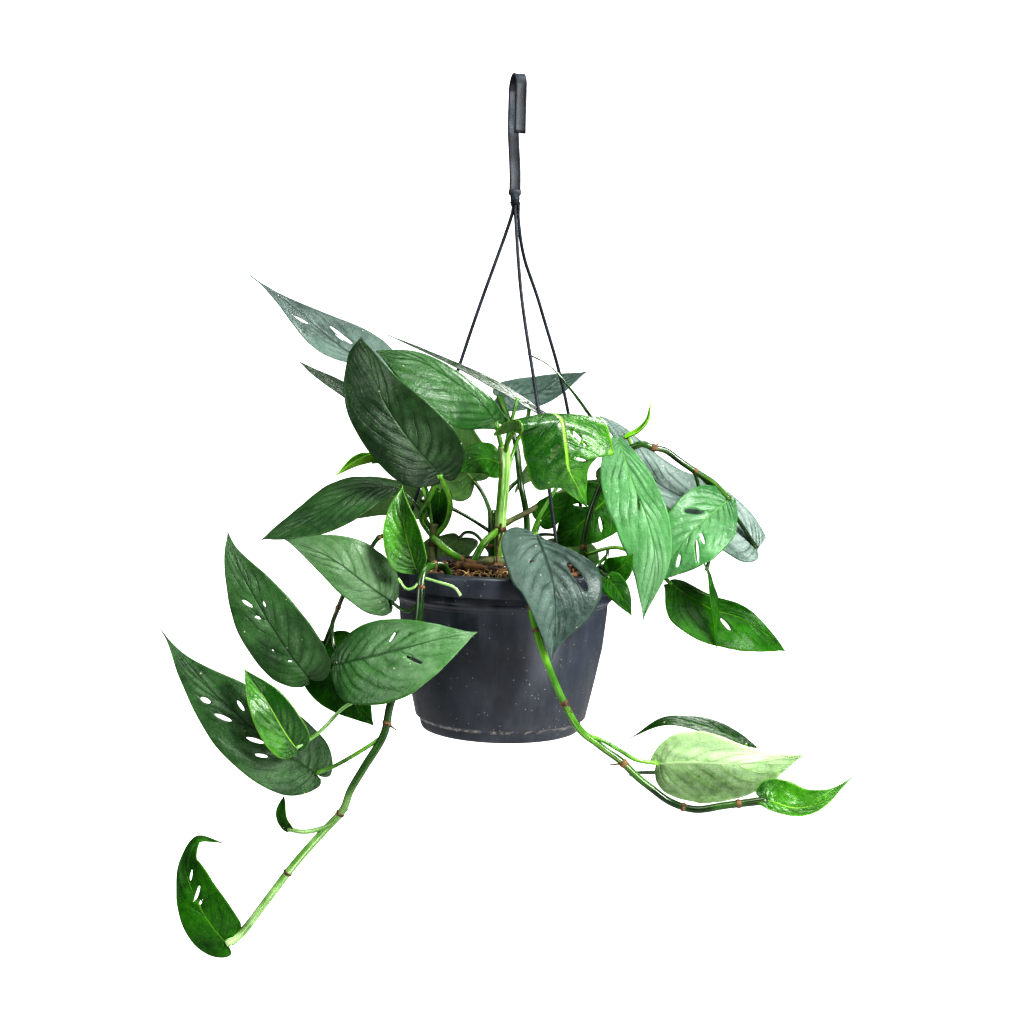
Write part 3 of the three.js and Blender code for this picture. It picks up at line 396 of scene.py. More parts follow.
# Bark chips, knocked about and half sunk in the mix
bark = bmesh.new()
for x, y in scattered(BARK_CHIPS, 0.079):
    size = draw.uniform(0.0014, 0.0042)
    turn = Matrix.Rotation(draw.random() * math.tau, 3, "Z")
    turn @= Matrix.Rotation(draw.uniform(-0.5, 0.5), 3, "X")
    shape = Matrix.Diagonal((size * draw.uniform(1.0, 2.2), size, size * draw.uniform(0.35, 0.7)))
    chip = bmesh.ops.create_icosphere(bark, subdivisions=1, radius=1)["verts"]
    for corner in chip:
        corner.co *= draw.uniform(0.75, 1.2)
        corner.co = turn @ shape @ corner.co + Vector((x, y, soil_height(x, y) + size * 0.2))
bark_chips, tree, shader = finish_of("bark_chips")
place = place_on(tree)
fibre = noise_of(tree, place, 700, 4, 0.7)
wood = blend_of(tree, clouds(tree, place, 130, 1, 0.4, 0.62), paint(46, 34, 23), paint(120, 90, 58))
wood = blend_of(tree, between(tree, fibre, 0.4, 0.7, 0.0, 0.5), wood, paint(30, 20, 14))
dress(tree, shader, wood, 0.85, bumped(tree, fibre, 0.7, 0.0006))
chips = piece_of(bark, "bark_chips", bark_chips)
chips.data.shade_flat()
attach(chips, "root")

# Perlite, a few off-white grains
grains = bmesh.new()
for x, y in scattered(PERLITE_GRAINS, 0.078):
    size = draw.uniform(0.0007, 0.0016)
    grain_spot = Matrix.Translation((x, y, soil_height(x, y) + size * 0.6))
    bmesh.ops.create_icosphere(grains, subdivisions=1, radius=size, matrix=grain_spot)
perlite, tree, shader = finish_of("perlite")
dress(tree, shader, blend_of(tree, clouds(tree, place_on(tree), 900, 3, 0.4, 0.6), paint(196, 190, 176),
                             paint(150, 138, 118)), 0.9)
white_grains = piece_of(grains, "perlite_grains", perlite)
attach(white_grains, "root")


# Hanger hook. A flat strap of black plastic moulded with two raised edges, bent over into an open
# hook, with a thick end where the strands are moulded in. Its line is in millimetres.
MM = 0.001
HOOK_TURN = math.radians(14)
HOOK_REACH = 11.5
STRAP_HALF = 0.0045
STRAP_THICK = 0.0015


def smooth_point(rows, share):
    """A point of the smooth line through the rows, share running evenly from row to row."""
    reach = min(max(share, 0), 1) * (len(rows) - 1)
    i = min(int(reach), len(rows) - 2)
    f = reach - i
    b, c = rows[i], rows[i + 1]
    a = rows[i - 1] if i else 2 * b - c
    d = rows[i + 2] if i + 2 < len(rows) else 2 * c - b
    return (2 * b + (c - a) * f + (2 * a - 5 * b + 4 * c - d) * f * f + (3 * b - a - 3 * c + d) * f ** 3) / 2


class Course:
    """A smooth line through points in millimetres, walked by share of its length."""

    def __init__(self, points, marks=48):
        self.rows = [Vector(p) * MM for p in points]
        self.walked = [0.0]
        before = self.rows[0]
        for i in range(1, marks + 1):
            here = smooth_point(self.rows, i / marks)
            self.walked.append(self.walked[-1] + (here - before).length)
            before = here
        self.length = self.walked[-1]
        self.marks = marks

    def share_of(self, share):
        """The share of the rows at a share of the length."""
        goal = min(max(share, 0), 1) * self.length
        low, high = 0, self.marks
        while high - low > 1:
            middle = (low + high) // 2
            if self.walked[middle] > goal:
                high = middle
            else:
                low = middle
        span = self.walked[high] - self.walked[low]
        return (low + (goal - self.walked[low]) / max(span, 1e-9)) / self.marks

    def at(self, share):
        """The point and the way ahead there."""
        t = self.share_of(share)
        ahead = smooth_point(self.rows, min(t + 0.004, 1)) - smooth_point(self.rows, max(t - 0.004, 0))
        return smooth_point(self.rows, t), ahead.normalized()

    def frames(self, steps, side=None):
        """Points with two directions across the line, which turn as little as they can."""
        found = []
        for i in range(steps + 1):
            point, ahead = self.at(i / steps)
            if side is None:
                side = ahead.orthogonal()
            side = (side - ahead * side.dot(ahead)).normalized()
            found.append((point, side, ahead.cross(side)))
        return found


def swept(bm, frames, sides, section):
    """A closed tube along frames. section(u, v) gives how far out each point lies, sideways and up."""
    steps = len(frames) - 1

    def place(u, v):
        point, side, up = frames[round(u * steps)]
        out, rise = section(u, v)
        return point + side * out + up * rise

    corners = shaped_grid(bm, steps, sides, place)
    bmesh.ops.remove_doubles(bm, verts=corners, dist=1e-6)


def closed_ends(bm):
    """Closes the open ends and turns every face outwards."""
    bmesh.ops.holes_fill(bm, edges=[e for e in bm.edges if e.is_boundary], sides=0)
    bmesh.ops.recalc_face_normals(bm, faces=bm.faces)


bend = [math.radians(d) for d in range(0, 181, 15)]
hook_line = [(0, -89), (0.1, -84), (0.8, -76), (3.4, -65), (7.2, -53), (10.2, -42)]
hook_line += [(HOOK_REACH, -32), (HOOK_REACH, -20)]
hook_line += [(HOOK_REACH * math.cos(a), -10 + HOOK_REACH * math.sin(a)) for a in bend]
hook_line += [(-HOOK_REACH, -20), (-HOOK_REACH, -32), (-HOOK_REACH, -45.5)]
hook_points = [(-q * math.sin(HOOK_TURN), q * math.cos(HOOK_TURN), z) for q, z in hook_line]
across_hook = Vector((math.cos(HOOK_TURN), math.sin(HOOK_TURN), 0))


def strap_section(u, v):
    """A flat strap with raised edges and rounded corners."""
    turn = v * math.tau
    wide = math.copysign(abs(math.cos(turn)) ** 0.35, math.cos(turn))
    deep = math.copysign(abs(math.sin(turn)) ** 0.45, math.sin(turn))
    hollow = 0.0005 * max(0, 1 - (abs(wide) / 0.78) ** 6)
    bead = 0.0005 * math.exp(-((u - 0.985) / 0.012) ** 2)
    return STRAP_HALF * wide, (STRAP_THICK + bead - hollow) * deep


bm = bmesh.new()
swept(bm, Course(hook_points, 200).frames(150, across_hook), 40, strap_section)
block = bmesh.ops.create_cube(bm, size=1, matrix=Matrix.LocRotScale(
    Vector((0, 0, -0.0895)), Matrix.Rotation(HOOK_TURN, 3, "Z"), Vector((0.0094, 0.0055, 0.0045))))
block_edges = {e for corner in block["verts"] for e in corner.link_edges}
bmesh.ops.bevel(bm, geom=list(block_edges), offset=0.001, offset_type="OFFSET", segments=3, profile=0.5,
                affect="EDGES", material=-1)
bmesh.ops.create_cone(bm, cap_ends=True, segments=24, radius1=0.003, radius2=0.0042, depth=0.009,
                      matrix=Matrix.Translation((0.0004, 0, -0.0955)))
closed_ends(bm)

hanger_plastic, tree, shader = finish_of("hanger_plastic")
place = place_on(tree)
dust = put(tree, "ShaderNodeGroup", {"Scale": 500, "Amount": 0.2}, node_tree=dust_effect).outputs
black = blend_of(tree, clouds(tree, place, 60, 4, 0.35, 0.7), paint(17, 21, 25), paint(34, 41, 49))
black = tinted(tree, black, dust["Speck"], 0.5, (130, 130, 128))
dress(tree, shader, black, between(tree, dust["Haze"], 0.0, 1.0, 0.45, 0.6),
      bumped(tree, noise_of(tree, place, 1800, 2), 0.2, 0.0002))
shader.inputs["Specular IOR Level"].default_value = 0.28
hook = piece_of(bm, "hook_strap", hanger_plastic)
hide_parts("hanger_hook")
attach(hook, "root")


# Hanger strands. Three thin legs of the same moulding spread to the pot's rim, where each pushes
# down through a hole and holds by a barb under it.
STRAND_RADIUS = 0.0014
STRAND_TAIL = 4.5
strand_routes = {
    "left": [(-2.4, 0, -97), (-2.6, 0, -110), (-25, 0, -178), (-40, 1, -226)],
    "front": [(0.8, -2, -97), (1.2, -2.6, -110), (8, -20, -176), (23, -46, -262)],
    "right": [(3.2, 1.4, -97), (3.6, 2, -112), (9, 9, -140), (24, 20, -180), (49, 41, -262)],
}


def round_section(radius):
    """A plain round wire."""
    return lambda u, v: (radius * math.cos(v * math.tau), radius * math.sin(v * math.tau))


for name, route in strand_routes.items():
    hole = strand_hole(STRAND_TURNS[name]) / MM
    slope = (hole - Vector(route[-1])).normalized()
    bm = bmesh.new()
    foot = hole + slope * STRAND_TAIL
    swept(bm, Course([*route, hole, foot], 90).frames(70), 12, round_section(STRAND_RADIUS))
    bmesh.ops.create_cone(bm, cap_ends=True, segments=12, radius1=0.0006, radius2=0.0023, depth=0.003,
                          matrix=Matrix.Translation(foot * MM))
    closed_ends(bm)
    strand = piece_of(bm, "strand_" + name, hanger_plastic)
    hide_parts("hanger_strand_" + name)
    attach(strand, "root")


# Shoots and vines. Fleshy green stems, each with its petioles, root in the mix. Older stems are
# dark, young ones bright. Every node has a scar, and many keep a scrap of brown sheath.
# Each skin is its dark, its light and its palest streak.
STEM_SKINS = {
    "bright": (paint(44, 96, 20), paint(98, 150, 48), paint(150, 186, 96)),
    "dark": (paint(14, 34, 10), paint(40, 78, 24), paint(96, 130, 58)),
    # Pale green whose light and palest colours are painted highlight, the whitish shine of a glossy stem.
    "glossy_painted_highlight": (paint(92, 140, 60), paint(158, 194, 126), paint(216, 230, 196)),
    "woody": (paint(56, 62, 34), paint(96, 108, 62), paint(132, 112, 76)),
    "sheath": (paint(96, 152, 52), paint(164, 200, 122), paint(222, 236, 190)),
}
# Each finish is the skin above one height and the skin below another
stem_finish = {}
for name, upper, lower, high, low in (
        ("bright_stem", "bright", "bright", 0, 1), ("old_stem", "dark", "dark", 0, 1),
        # Lower down the left vine turns into the skin with painted highlight, and the pale stems wear it all
        # over.
        ("left_vine_stem", "dark", "glossy_painted_highlight", -0.53, -0.60),
        ("front_vine_stem", "bright", "dark", -0.47, -0.55), ("woody_stem", "woody", "woody", 0, 1),
        ("pale_stem", "glossy_painted_highlight", "glossy_painted_highlight", 0, 1), ("stem_sheath", "sheath", "sheath", 0, 1)):
    material, tree, shader = finish_of(name)
    place = place_on(tree)
    height = put(tree, "ShaderNodeSeparateXYZ", {0: place}).outputs["Z"]
    share = between(tree, height, low, high, 1.0, 0.0)
    dark, light, pale = [blend_of(tree, share, a, b) if upper != lower else a
                         for a, b in zip(STEM_SKINS[upper], STEM_SKINS[lower])]
    lengthways = put(tree, "ShaderNodeTexCoord").outputs["UV"]
    stretched = put(tree, "ShaderNodeMapping", {"Vector": lengthways, "Scale": (1.2, 2.6, 1)}).outputs[0]
    streaks = noise_of(tree, stretched, 3, 3, 0.6)
    skin = blend_of(tree, clouds(tree, place, 36, 3, 0.35, 0.65), dark, light)
    skin = blend_of(tree, between(tree, streaks, 0.5, 0.72, 0.0, 0.75), skin, pale)
    skin = blend_of(tree, clouds(tree, place, 700, 2, 0.72, 0.8, end=0.06), skin, paint(120, 98, 60))
    dress(tree, shader, skin, 0.6 if upper == "woody" else 0.24, bumped(tree, streaks, 0.35, 0.0006))
    stem_finish[name] = material

# Each way is a radius and the points that it passes, from the mix or its parent stem to a blade
shoots = {
    "vine_left": [
        (3, [(-38, -53, -404), (-43, -60, -386), (-50, -70, -380), (-60, -87, -385), (-62, -97, -419),
             (-68, -96, -446), (-81, -93, -481), (-86, -91, -506), (-100, -90, -531), (-110, -90, -549),
             (-116, -89, -565), (-132, -87, -584), (-153, -83, -610), (-174, -78, -640), (-193, -70, -667),
             (-204.6, -72.7, -674.8)]),
        (1.6, [(-86, -91, -507), (-102, -87, -519), (-122, -78, -533), (-139, -70.7, -542.1)]),
        (1.5, [(-81, -93, -481), (-94, -98, -477), (-114, -98, -484), (-132, -98, -503),
               (-149.7, -100.6, -515.8)]),
        (1.8, [(-116, -89, -565), (-122, -90, -574), (-134, -88, -580), (-146, -85, -583),
               (-157.5, -76.4, -583.7)]),
        (1.4, [(-60, -94, -404), (-71, -86, -414), (-85, -74.7, -408.2)]),
        (1.6, [(-57, -82, -382), (-60, -83, -381), (-65.4, -84.4, -382.6)]),
        (1.1, [(-60, -88, -388), (-66, -93, -395), (-72, -93, -396), (-78, -90, -389)]),
        (1.1, [(-60, -88, -388), (-47, -99, -390), (-36, -102, -393), (-31, -102, -399)]),
    ],
    "vine_left_thin": [
        (1.8, [(-66, -34, -404), (-71, -34, -380), (-83, -35, -364), (-96, -42, -362), (-104, -56, -373),
               (-117, -68, -396), (-125, -70, -416), (-129, -71, -430), (-126, -76, -446),
               (-122.8, -90.8, -454.6)]),
        (1.5, [(-128, -71, -428), (-134, -66, -442), (-140, -64, -460), (-146.8, -66.5, -468.8)]),
        (1.3, [(-126, -70, -420), (-131, -61, -431), (-136.5, -53.2, -444.4)]),
    ],
    "shoot_left": [
        (3.6, [(-55, -26, -404), (-56, -27, -380), (-56, -27, -352)]),
        (2.2, [(-55, -27, -362), (-46, -33, -350), (-43, -47, -333), (-50.9, -62.7, -312)]),
        (2.2, [(-57, -27, -362), (-66, -29, -348), (-60, -44, -333), (-50.9, -62.7, -312)]),
        (1.5, [(-58, -26, -356), (-70, -30, -338), (-85.3, -38.7, -324.1)]),
        (1.8, [(-56, -26, -356), (-72, 0, -310), (-96, 24, -262), (-109.3, 30.1, -232.2)]),
        (1.3, [(-86, 15, -278), (-104, 8, -268), (-124.3, -0.3, -254.2)]),
        (1.3, [(-57, -29, -354), (-63, -37, -322), (-78, -42, -304), (-103.2, -50.9, -304.4)]),
        (1.3, [(-56, -25, -356), (-58, -13, -342), (-56, -14, -327), (-52.1, -20.5, -327.4)]),
        (2.8, [(-57, -28, -362), (-50, -34, -368), (-40, -36, -375), (-31, -36, -379)]),
    ],
    "shoot_centre": [
        (4.4, [(-4, 0, -404), (-4, -5, -369), (-4, -7, -346), (-2, -12, -309), (-3, -16, -290)]),
        (2, [(-3, -15, -296), (-6, -19, -286), (-9.8, -22.8, -271)]),
        (1.8, [(-2, -15, -296), (0, -30, -287), (4, -50, -279), (6, -78.9, -276.4)]),
        (1.5, [(-3, -14, -298), (1, -17, -276), (7, -18, -252)]),
        (1.6, [(-3, -9, -325), (6, 2, -290), (14, 3, -272), (16.7, 3.5, -257.3)]),
        (1.6, [(-4, -4, -356), (-5, 12, -328), (-3, 24, -314), (-7.3, 21.2, -303.8)]),
        (3.8, [(-30, -26, -385), (-20, -20, -381), (-3, -8, -382), (17, 5, -384)]),
        (3, [(-25, -24, -382), (-16, -19, -366), (-4, -6, -356)]),
        (2.6, [(17, 5, -403), (17, 6, -351), (11, 8, -319), (6, 36, -286), (-4, 66, -260),
               (-8.6, 79.7, -249.8)]),
        (2.4, [(-3, -4, -353), (20, 2, -341), (36, 6, -331), (50, 10, -324)]),
        (1.6, [(17, 4, -388), (22, -16, -357), (29, -21, -340), (43, -20, -315), (58, -6, -288),
               (65.2, 11.2, -265)]),
        (1.5, [(17, 5, -388), (23, 3, -372), (25, 1, -358), (28, -0.3, -348)]),
    ],
    "vine_right": [
        (2.6, [(62, -6, -404), (62, -4, -375), (68, -2, -340), (84, 2, -302), (104, -5, -286),
               (115, -5, -288), (126, -2, -290), (138, 0, -298), (152, 0, -307), (165, -2, -315),
               (177, -8.8, -327.7)]),
        (1.8, [(85, 2, -301), (88, -8, -290), (87.4, -18.8, -283.2)]),
        (1.6, [(152, 0, -307), (172, 6, -326), (185, 9, -341), (203.8, 12.1, -367.1)]),
        (1.6, [(62, 0, -376), (90, -12, -368), (114, -16, -380), (133, -18.9, -395.6)]),
        (1.4, [(150, 0, -306), (160, 6, -340), (163, -14, -366), (158.1, -31.3, -381.8)]),
        (1.4, [(82, -9, -370), (80, -34, -372), (78, -54, -378), (81, -64.8, -383.2)]),
        (1.4, [(80, -36, -372), (70, -56, -380), (72, -74, -381), (77.8, -86.7, -385)]),
        (1.6, [(84, 4, -302), (88, 18, -318), (82.9, 25.7, -331)]),
        (1.6, [(100, -4, -288), (98, 1, -284), (96.3, 2.9, -280.3)]),
    ],
    "vine_front": [
        (2.8, [(12, -50, -404), (14, -66, -383), (16, -80, -378), (19, -96, -382), (20, -103, -398),
               (23, -105, -415), (34, -108, -447), (55, -104, -490), (74, -102, -507), (90, -102, -518),
               (102, -103, -529), (114, -104, -538), (128, -106, -547), (146, -109, -551), (168, -110, -547),
               (197.5, -110.2, -542.3)]),
        (1.8, [(13, -60, -391), (14, -60, -374), (16, -64, -360), (23.4, -86, -354)]),
        (1.6, [(66, -103, -500), (76, -103, -503), (90, -101, -511), (102, -98, -518),
               (118.4, -95.5, -520.8)]),
        (1.4, [(98, -103, -525), (99, -92, -531), (106, -80, -532), (150, -72, -532), (178, -66, -529),
               (191, -66, -519), (186.7, -70.4, -510.4)]),
    ],
    "shoot_rear": [
        (3.6, [(-10, 48, -404), (-11, 50, -375), (-12, 54, -345)]),
        (1.8, [(-12, 53, -350), (-20, 64, -332), (-28.9, 74.6, -321)]),
        (1.8, [(-12, 52, -356), (0, 62, -330), (12.8, 77, -317.2)]),
        (1.6, [(-11, 51, -364), (-34, 50, -350), (-56, 44, -340), (-73.3, 42.7, -337.9)]),
        (1.8, [(-11, 51, -364), (26, 58, -340), (58, 60, -322), (77.3, 58.8, -318.2)]),
        (1.5, [(-10, 50, -384), (20, 64, -368), (40, 78, -366), (50.6, 89.1, -372.8)]),
        (1.5, [(-10, 50, -384), (-24, 66, -368), (-34, 78, -366), (-40.8, 89.1, -372.7)]),
        (2.6, [(-10, 50, -386), (4, 66, -381), (12, 84, -379), (16, 100, -384), (16, 109, -398),
               (12, 113, -430), (4, 114, -480), (-6.8, 113.5, -525.2)]),
        (1.4, [(15, 112, -408), (15, 117, -413), (9, 120.5, -418.9)]),
        (1.4, [(6, 114, -462), (6, 117, -466), (6.9, 119.6, -471)]),
    ],
}
main_skin = {"vine_left": "left_vine_stem", "vine_left_thin": "old_stem", "vine_right": "old_stem",
             "shoot_rear": "old_stem", "vine_front": "front_vine_stem"}
# Ways that have a skin of their own, by their shoot and place in its list
own_skin = {
    "vine_left": {1: "bright_stem", 2: "pale_stem", 6: "pale_stem", 7: "pale_stem"},
    "shoot_left": {0: "woody_stem", 8: "bright_stem"},
    "shoot_centre": {0: "stem_sheath", 3: "bright_stem", 5: "woody_stem", 6: "woody_stem", 8: "old_stem",
                     9: "woody_stem"},
    "vine_right": {1: "bright_stem", 3: "bright_stem", 8: "bright_stem"},
    "vine_front": {1: "bright_stem", 2: "bright_stem"},
}
# A stem thicker than this, in millimetres, has fine ribs
RIBBED_FROM = 4


def petiole_section(radius):
    """Round, with the shallow channel that runs along a petiole, and a thicker joint at its end."""
    ribs = 0.05 if radius > RIBBED_FROM else 0

    def section(u, v):
        channel = 1 - 0.14 * max(0, math.cos(v * math.tau)) ** 6 + ribs * math.cos(7 * v * math.tau)
        joint = 1 + 0.14 * math.exp(-((1 - u) / 0.05) ** 2)
        lean = 1 + 0.05 * noise.noise(Vector((u * 9, radius * 5, 3)))
        girth = radius * MM * channel * joint * lean
        return girth * math.cos(v * math.tau), girth * math.sin(v * math.tau)
    return section


for name, ways in shoots.items():
    bm = bmesh.new()
    skins = [main_skin.get(name, "bright_stem")]
    for i, (radius, points) in enumerate(ways):
        course = Course(points)
        earlier = set(bm.faces)
        sides = 36 if radius > RIBBED_FROM else 12
        swept(bm, course.frames(max(8, round(course.length / 0.003))), sides, petiole_section(radius))
        skin = own_skin.get(name, {}).get(i, skins[0])
        if skin not in skins:
            skins.append(skin)
        for face in bm.faces:
            if face not in earlier:
                face.material_index = skins.index(skin)
    closed_ends(bm)
    shoot = piece_of(bm, name + "_stems", *[stem_finish[skin] for skin in skins])
    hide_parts(name)
    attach(shoot, "root")


# Nodes. A papery collar of dried brown sheath rings the stem at each, and a scrap of it or the stub
# of an aerial root often stands off. A row is the shoot and way, the share of the way, the
# collar's length, and the scrap as a vector in millimetres.
stem_nodes = [
    ("vine_left", 0, 0.10, 4, (-5, -3, -4)), ("vine_left", 0, 0.17, 3, None), ("vine_left", 0, 0.25, 4, None),
    ("vine_left", 0, 0.44, 4, (6, -3, -3)), ("vine_left", 0, 0.64, 3, (5, -2, 3)),
    ("vine_left", 0, 0.80, 3, None),
    ("vine_left_thin", 0, 0.35, 4, None), ("vine_left_thin", 0, 0.72, 4, None),
    ("shoot_left", 0, 0.7, 5, None), ("shoot_left", 8, 0.95, 4, (4, -3, 2)),
    ("shoot_centre", 0, 0.42, 6, (1, -5, -9)), ("shoot_centre", 6, 0.05, 4, None),
    ("shoot_centre", 6, 0.95, 4, None),
    ("vine_right", 0, 0.16, 5, (3, -3, -6)), ("vine_right", 0, 0.66, 7, (5, -1, 4)),
    ("vine_right", 0, 0.84, 4, None),
    ("vine_front", 0, 0.205, 5, (-4, -3, 2)), ("vine_front", 0, 0.25, 4, (-7, -2, 1)),
    ("vine_front", 0, 0.30, 4, (9, -3, -8)), ("vine_front", 0, 0.47, 6, (6, -2, -4)),
    ("vine_front", 0, 0.66, 6, (-13, -2, -1)), ("vine_front", 0, 0.82, 4, None),
    ("vine_front", 0, 0.94, 5, None), ("shoot_rear", 0, 0.5, 5, None), ("shoot_rear", 7, 0.3, 5, (3, 4, -6)),
    ("shoot_rear", 7, 0.62, 5, (-6, 4, -3)),
]


def collar_section(radius):
    """A papery ring that hugs the stem below and frays above it."""
    def section(u, v):
        fray = noise.noise(Vector((math.cos(v * math.tau) * 2, math.sin(v * math.tau) * 2, radius + u * 3)))
        girth = radius * MM * (0.9 + 0.3 * math.sin(math.pi * min(u * 1.25, 1)) ** 0.5 + 0.12 * fray * u)
        return girth * math.cos(v * math.tau), girth * math.sin(v * math.tau)
    return section


def root_section(radius, tip):
    """Round and a little knobbly, thinning to a share of its radius at the tip."""
    def section(u, v):
        girth = radius * (1 - u * (1 - tip)) * (1 + 0.18 * noise.noise(Vector((u * 8, v * 3, radius * 900))))
        return girth * math.cos(v * math.tau), girth * math.sin(v * math.tau)
    return section


bm = bmesh.new()
for name, way, share, collar, scrap in stem_nodes:
    radius, points = shoots[name][way]
    course = Course(points)
    reach = collar * MM / course.length / 2
    rows = [course.at(share + reach * k)[0] / MM for k in (-1, 0, 1)]
    swept(bm, Course(rows, 6).frames(8), 14, collar_section(radius))
    if scrap:
        start = rows[1]
        bend = Vector((draw.uniform(-2, 2), draw.uniform(-1, 1), draw.uniform(-2, 1)))
        line = [start, start + Vector(scrap) * 0.55 + bend * 0.5, start + Vector(scrap) + bend]
        swept(bm, Course(line, 8).frames(8), 8, root_section(0.0012, 0.3))
closed_ends(bm)
brown_sheath, tree, shader = finish_of("brown_sheath")
place = place_on(tree)
dry = blend_of(tree, clouds(tree, place, 260, 4, 0.36, 0.64, 0.65), paint(50, 36, 22), paint(118, 90, 56))
dress(tree, shader, dry, 0.75, bumped(tree, noise_of(tree, place, 1100, 3), 0.6, 0.0004))
sheaths = piece_of(bm, "node_sheaths", brown_sheath)
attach(sheaths, "root")


# Rhizomes and roots. A thick cut rhizome and a thinner one, woody and brown, lie on the mix in
# front, and an aerial root comes down from the central shoot. Fine pale roots are strewn over the
# mix, most of them in front.
bm = bmesh.new()
for radius, points in (
        (3.4, [(-36, -40, -383), (-24, -48, -383), (-10, -54, -385), (2, -57, -386)]),
        (2.4, [(-30, -36, -380), (-22, -42, -381), (-16, -44, -383)]),
        (1.0, [(-4, -10, -352), (-3, -15, -360), (-6, -17, -370), (-6, -18, -384)])):
    course = Course(points)
    swept(bm, course.frames(24), 12, root_section(radius * MM, 0.8))
closed_ends(bm)
rhizomes = piece_of(bm, "rhizomes", bark_chips)
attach(rhizomes, "root")

ROOTS = 90
ROOTS_IN_FRONT = 50
bm = bmesh.new()
for i in range(ROOTS):
    front = i < ROOTS_IN_FRONT
    x = draw.uniform(-28, 18) if front else draw.uniform(-60, 60)
    y = draw.uniform(-66, -48) if front else draw.uniform(-45, 60)
    run = Vector((draw.uniform(-9, 9), draw.uniform(-12, 3) if front else draw.uniform(-9, 9), 0))
    start = Vector((x, y, soil_height(x * MM, y * MM) / MM + (3.2 if front else 1.4)))
    middle = start + run * 0.5 + Vector((draw.uniform(-2, 2), draw.uniform(-2, 2), draw.uniform(0, 2.2)))
    end = start + run
    end.z = soil_height(end.x * MM, end.y * MM) / MM - 0.5
    swept(bm, Course([start, middle, end], 8).frames(7), 4, root_section(draw.uniform(0.00028, 0.00055), 0.5))
closed_ends(bm)
pale_root, tree, shader = finish_of("pale_root")
dress(tree, shader, blend_of(tree, clouds(tree, place_on(tree), 90, 2, 0.4, 0.6), paint(146, 104, 62),
                             paint(206, 178, 132)), 0.7)
roots = piece_of(bm, "fine_roots", pale_root)
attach(roots, "root")


# Blue-grey leaves. Leathery blades with a satin wax bloom, long and slender with a drip tip; the
# bloom's pale haze is partly painted highlight. The side veins leave the midrib at a slant and sink
# into the upper side, and some blades have slits.
# An outline's rows are the share of the midrib's length at the midrib and at the edge, and the width.
blade_outline = [Vector(row) for row in (
    (0, -0.03, 0.14), (0.015, -0.06, 0.4), (0.035, -0.03, 0.7), (0.07, 0.06, 0.92), (0.14, 0.22, 1),
    (0.28, 0.4, 0.95), (0.44, 0.57, 0.78), (0.61, 0.73, 0.53), (0.79, 0.87, 0.25), (0.91, 0.95, 0.09),
    (1, 1, 0.012))]
folded_outline = [Vector(row) for row in (
    (0, -0.03, 0.14), (0.02, -0.04, 0.45), (0.06, 0, 0.8), (0.14, 0.12, 0.97), (0.26, 0.26, 1.03),
    (0.38, 0.38, 1.05), (0.5, 0.51, 1), (0.6, 0.63, 0.97), (0.68, 0.73, 0.86), (0.73, 0.77, 0.42),
    (0.85, 0.86, 0.24), (1, 1, 0.012))]
closed_outline = [Vector(row) for row in (
    (0, 0, 0.3), (0.012, -0.008, 0.55), (0.035, 0.01, 0.78), (0.07, 0.07, 0.93), (0.14, 0.22, 1),
    (0.28, 0.4, 0.95), (0.44, 0.57, 0.78), (0.61, 0.73, 0.53), (0.79, 0.87, 0.25), (0.91, 0.95, 0.09),
    (1, 1, 0.015))]
VEIN_PAIRS = 12
VEIN_LEAN = 0.06
VEIN_BEND = 0.09
VEIN_WIDTH = 0.1
QUILT_HEIGHT = 0.22
SWAY_HEIGHT = 1.3
DENT_HEIGHT = 0.7
# Makes the largest slant along a blade one
SLANT_PEAK = 6.75


def pair_of(value):
    """One value for each half of the blade."""
    return value if isinstance(value, tuple) else (value, value)


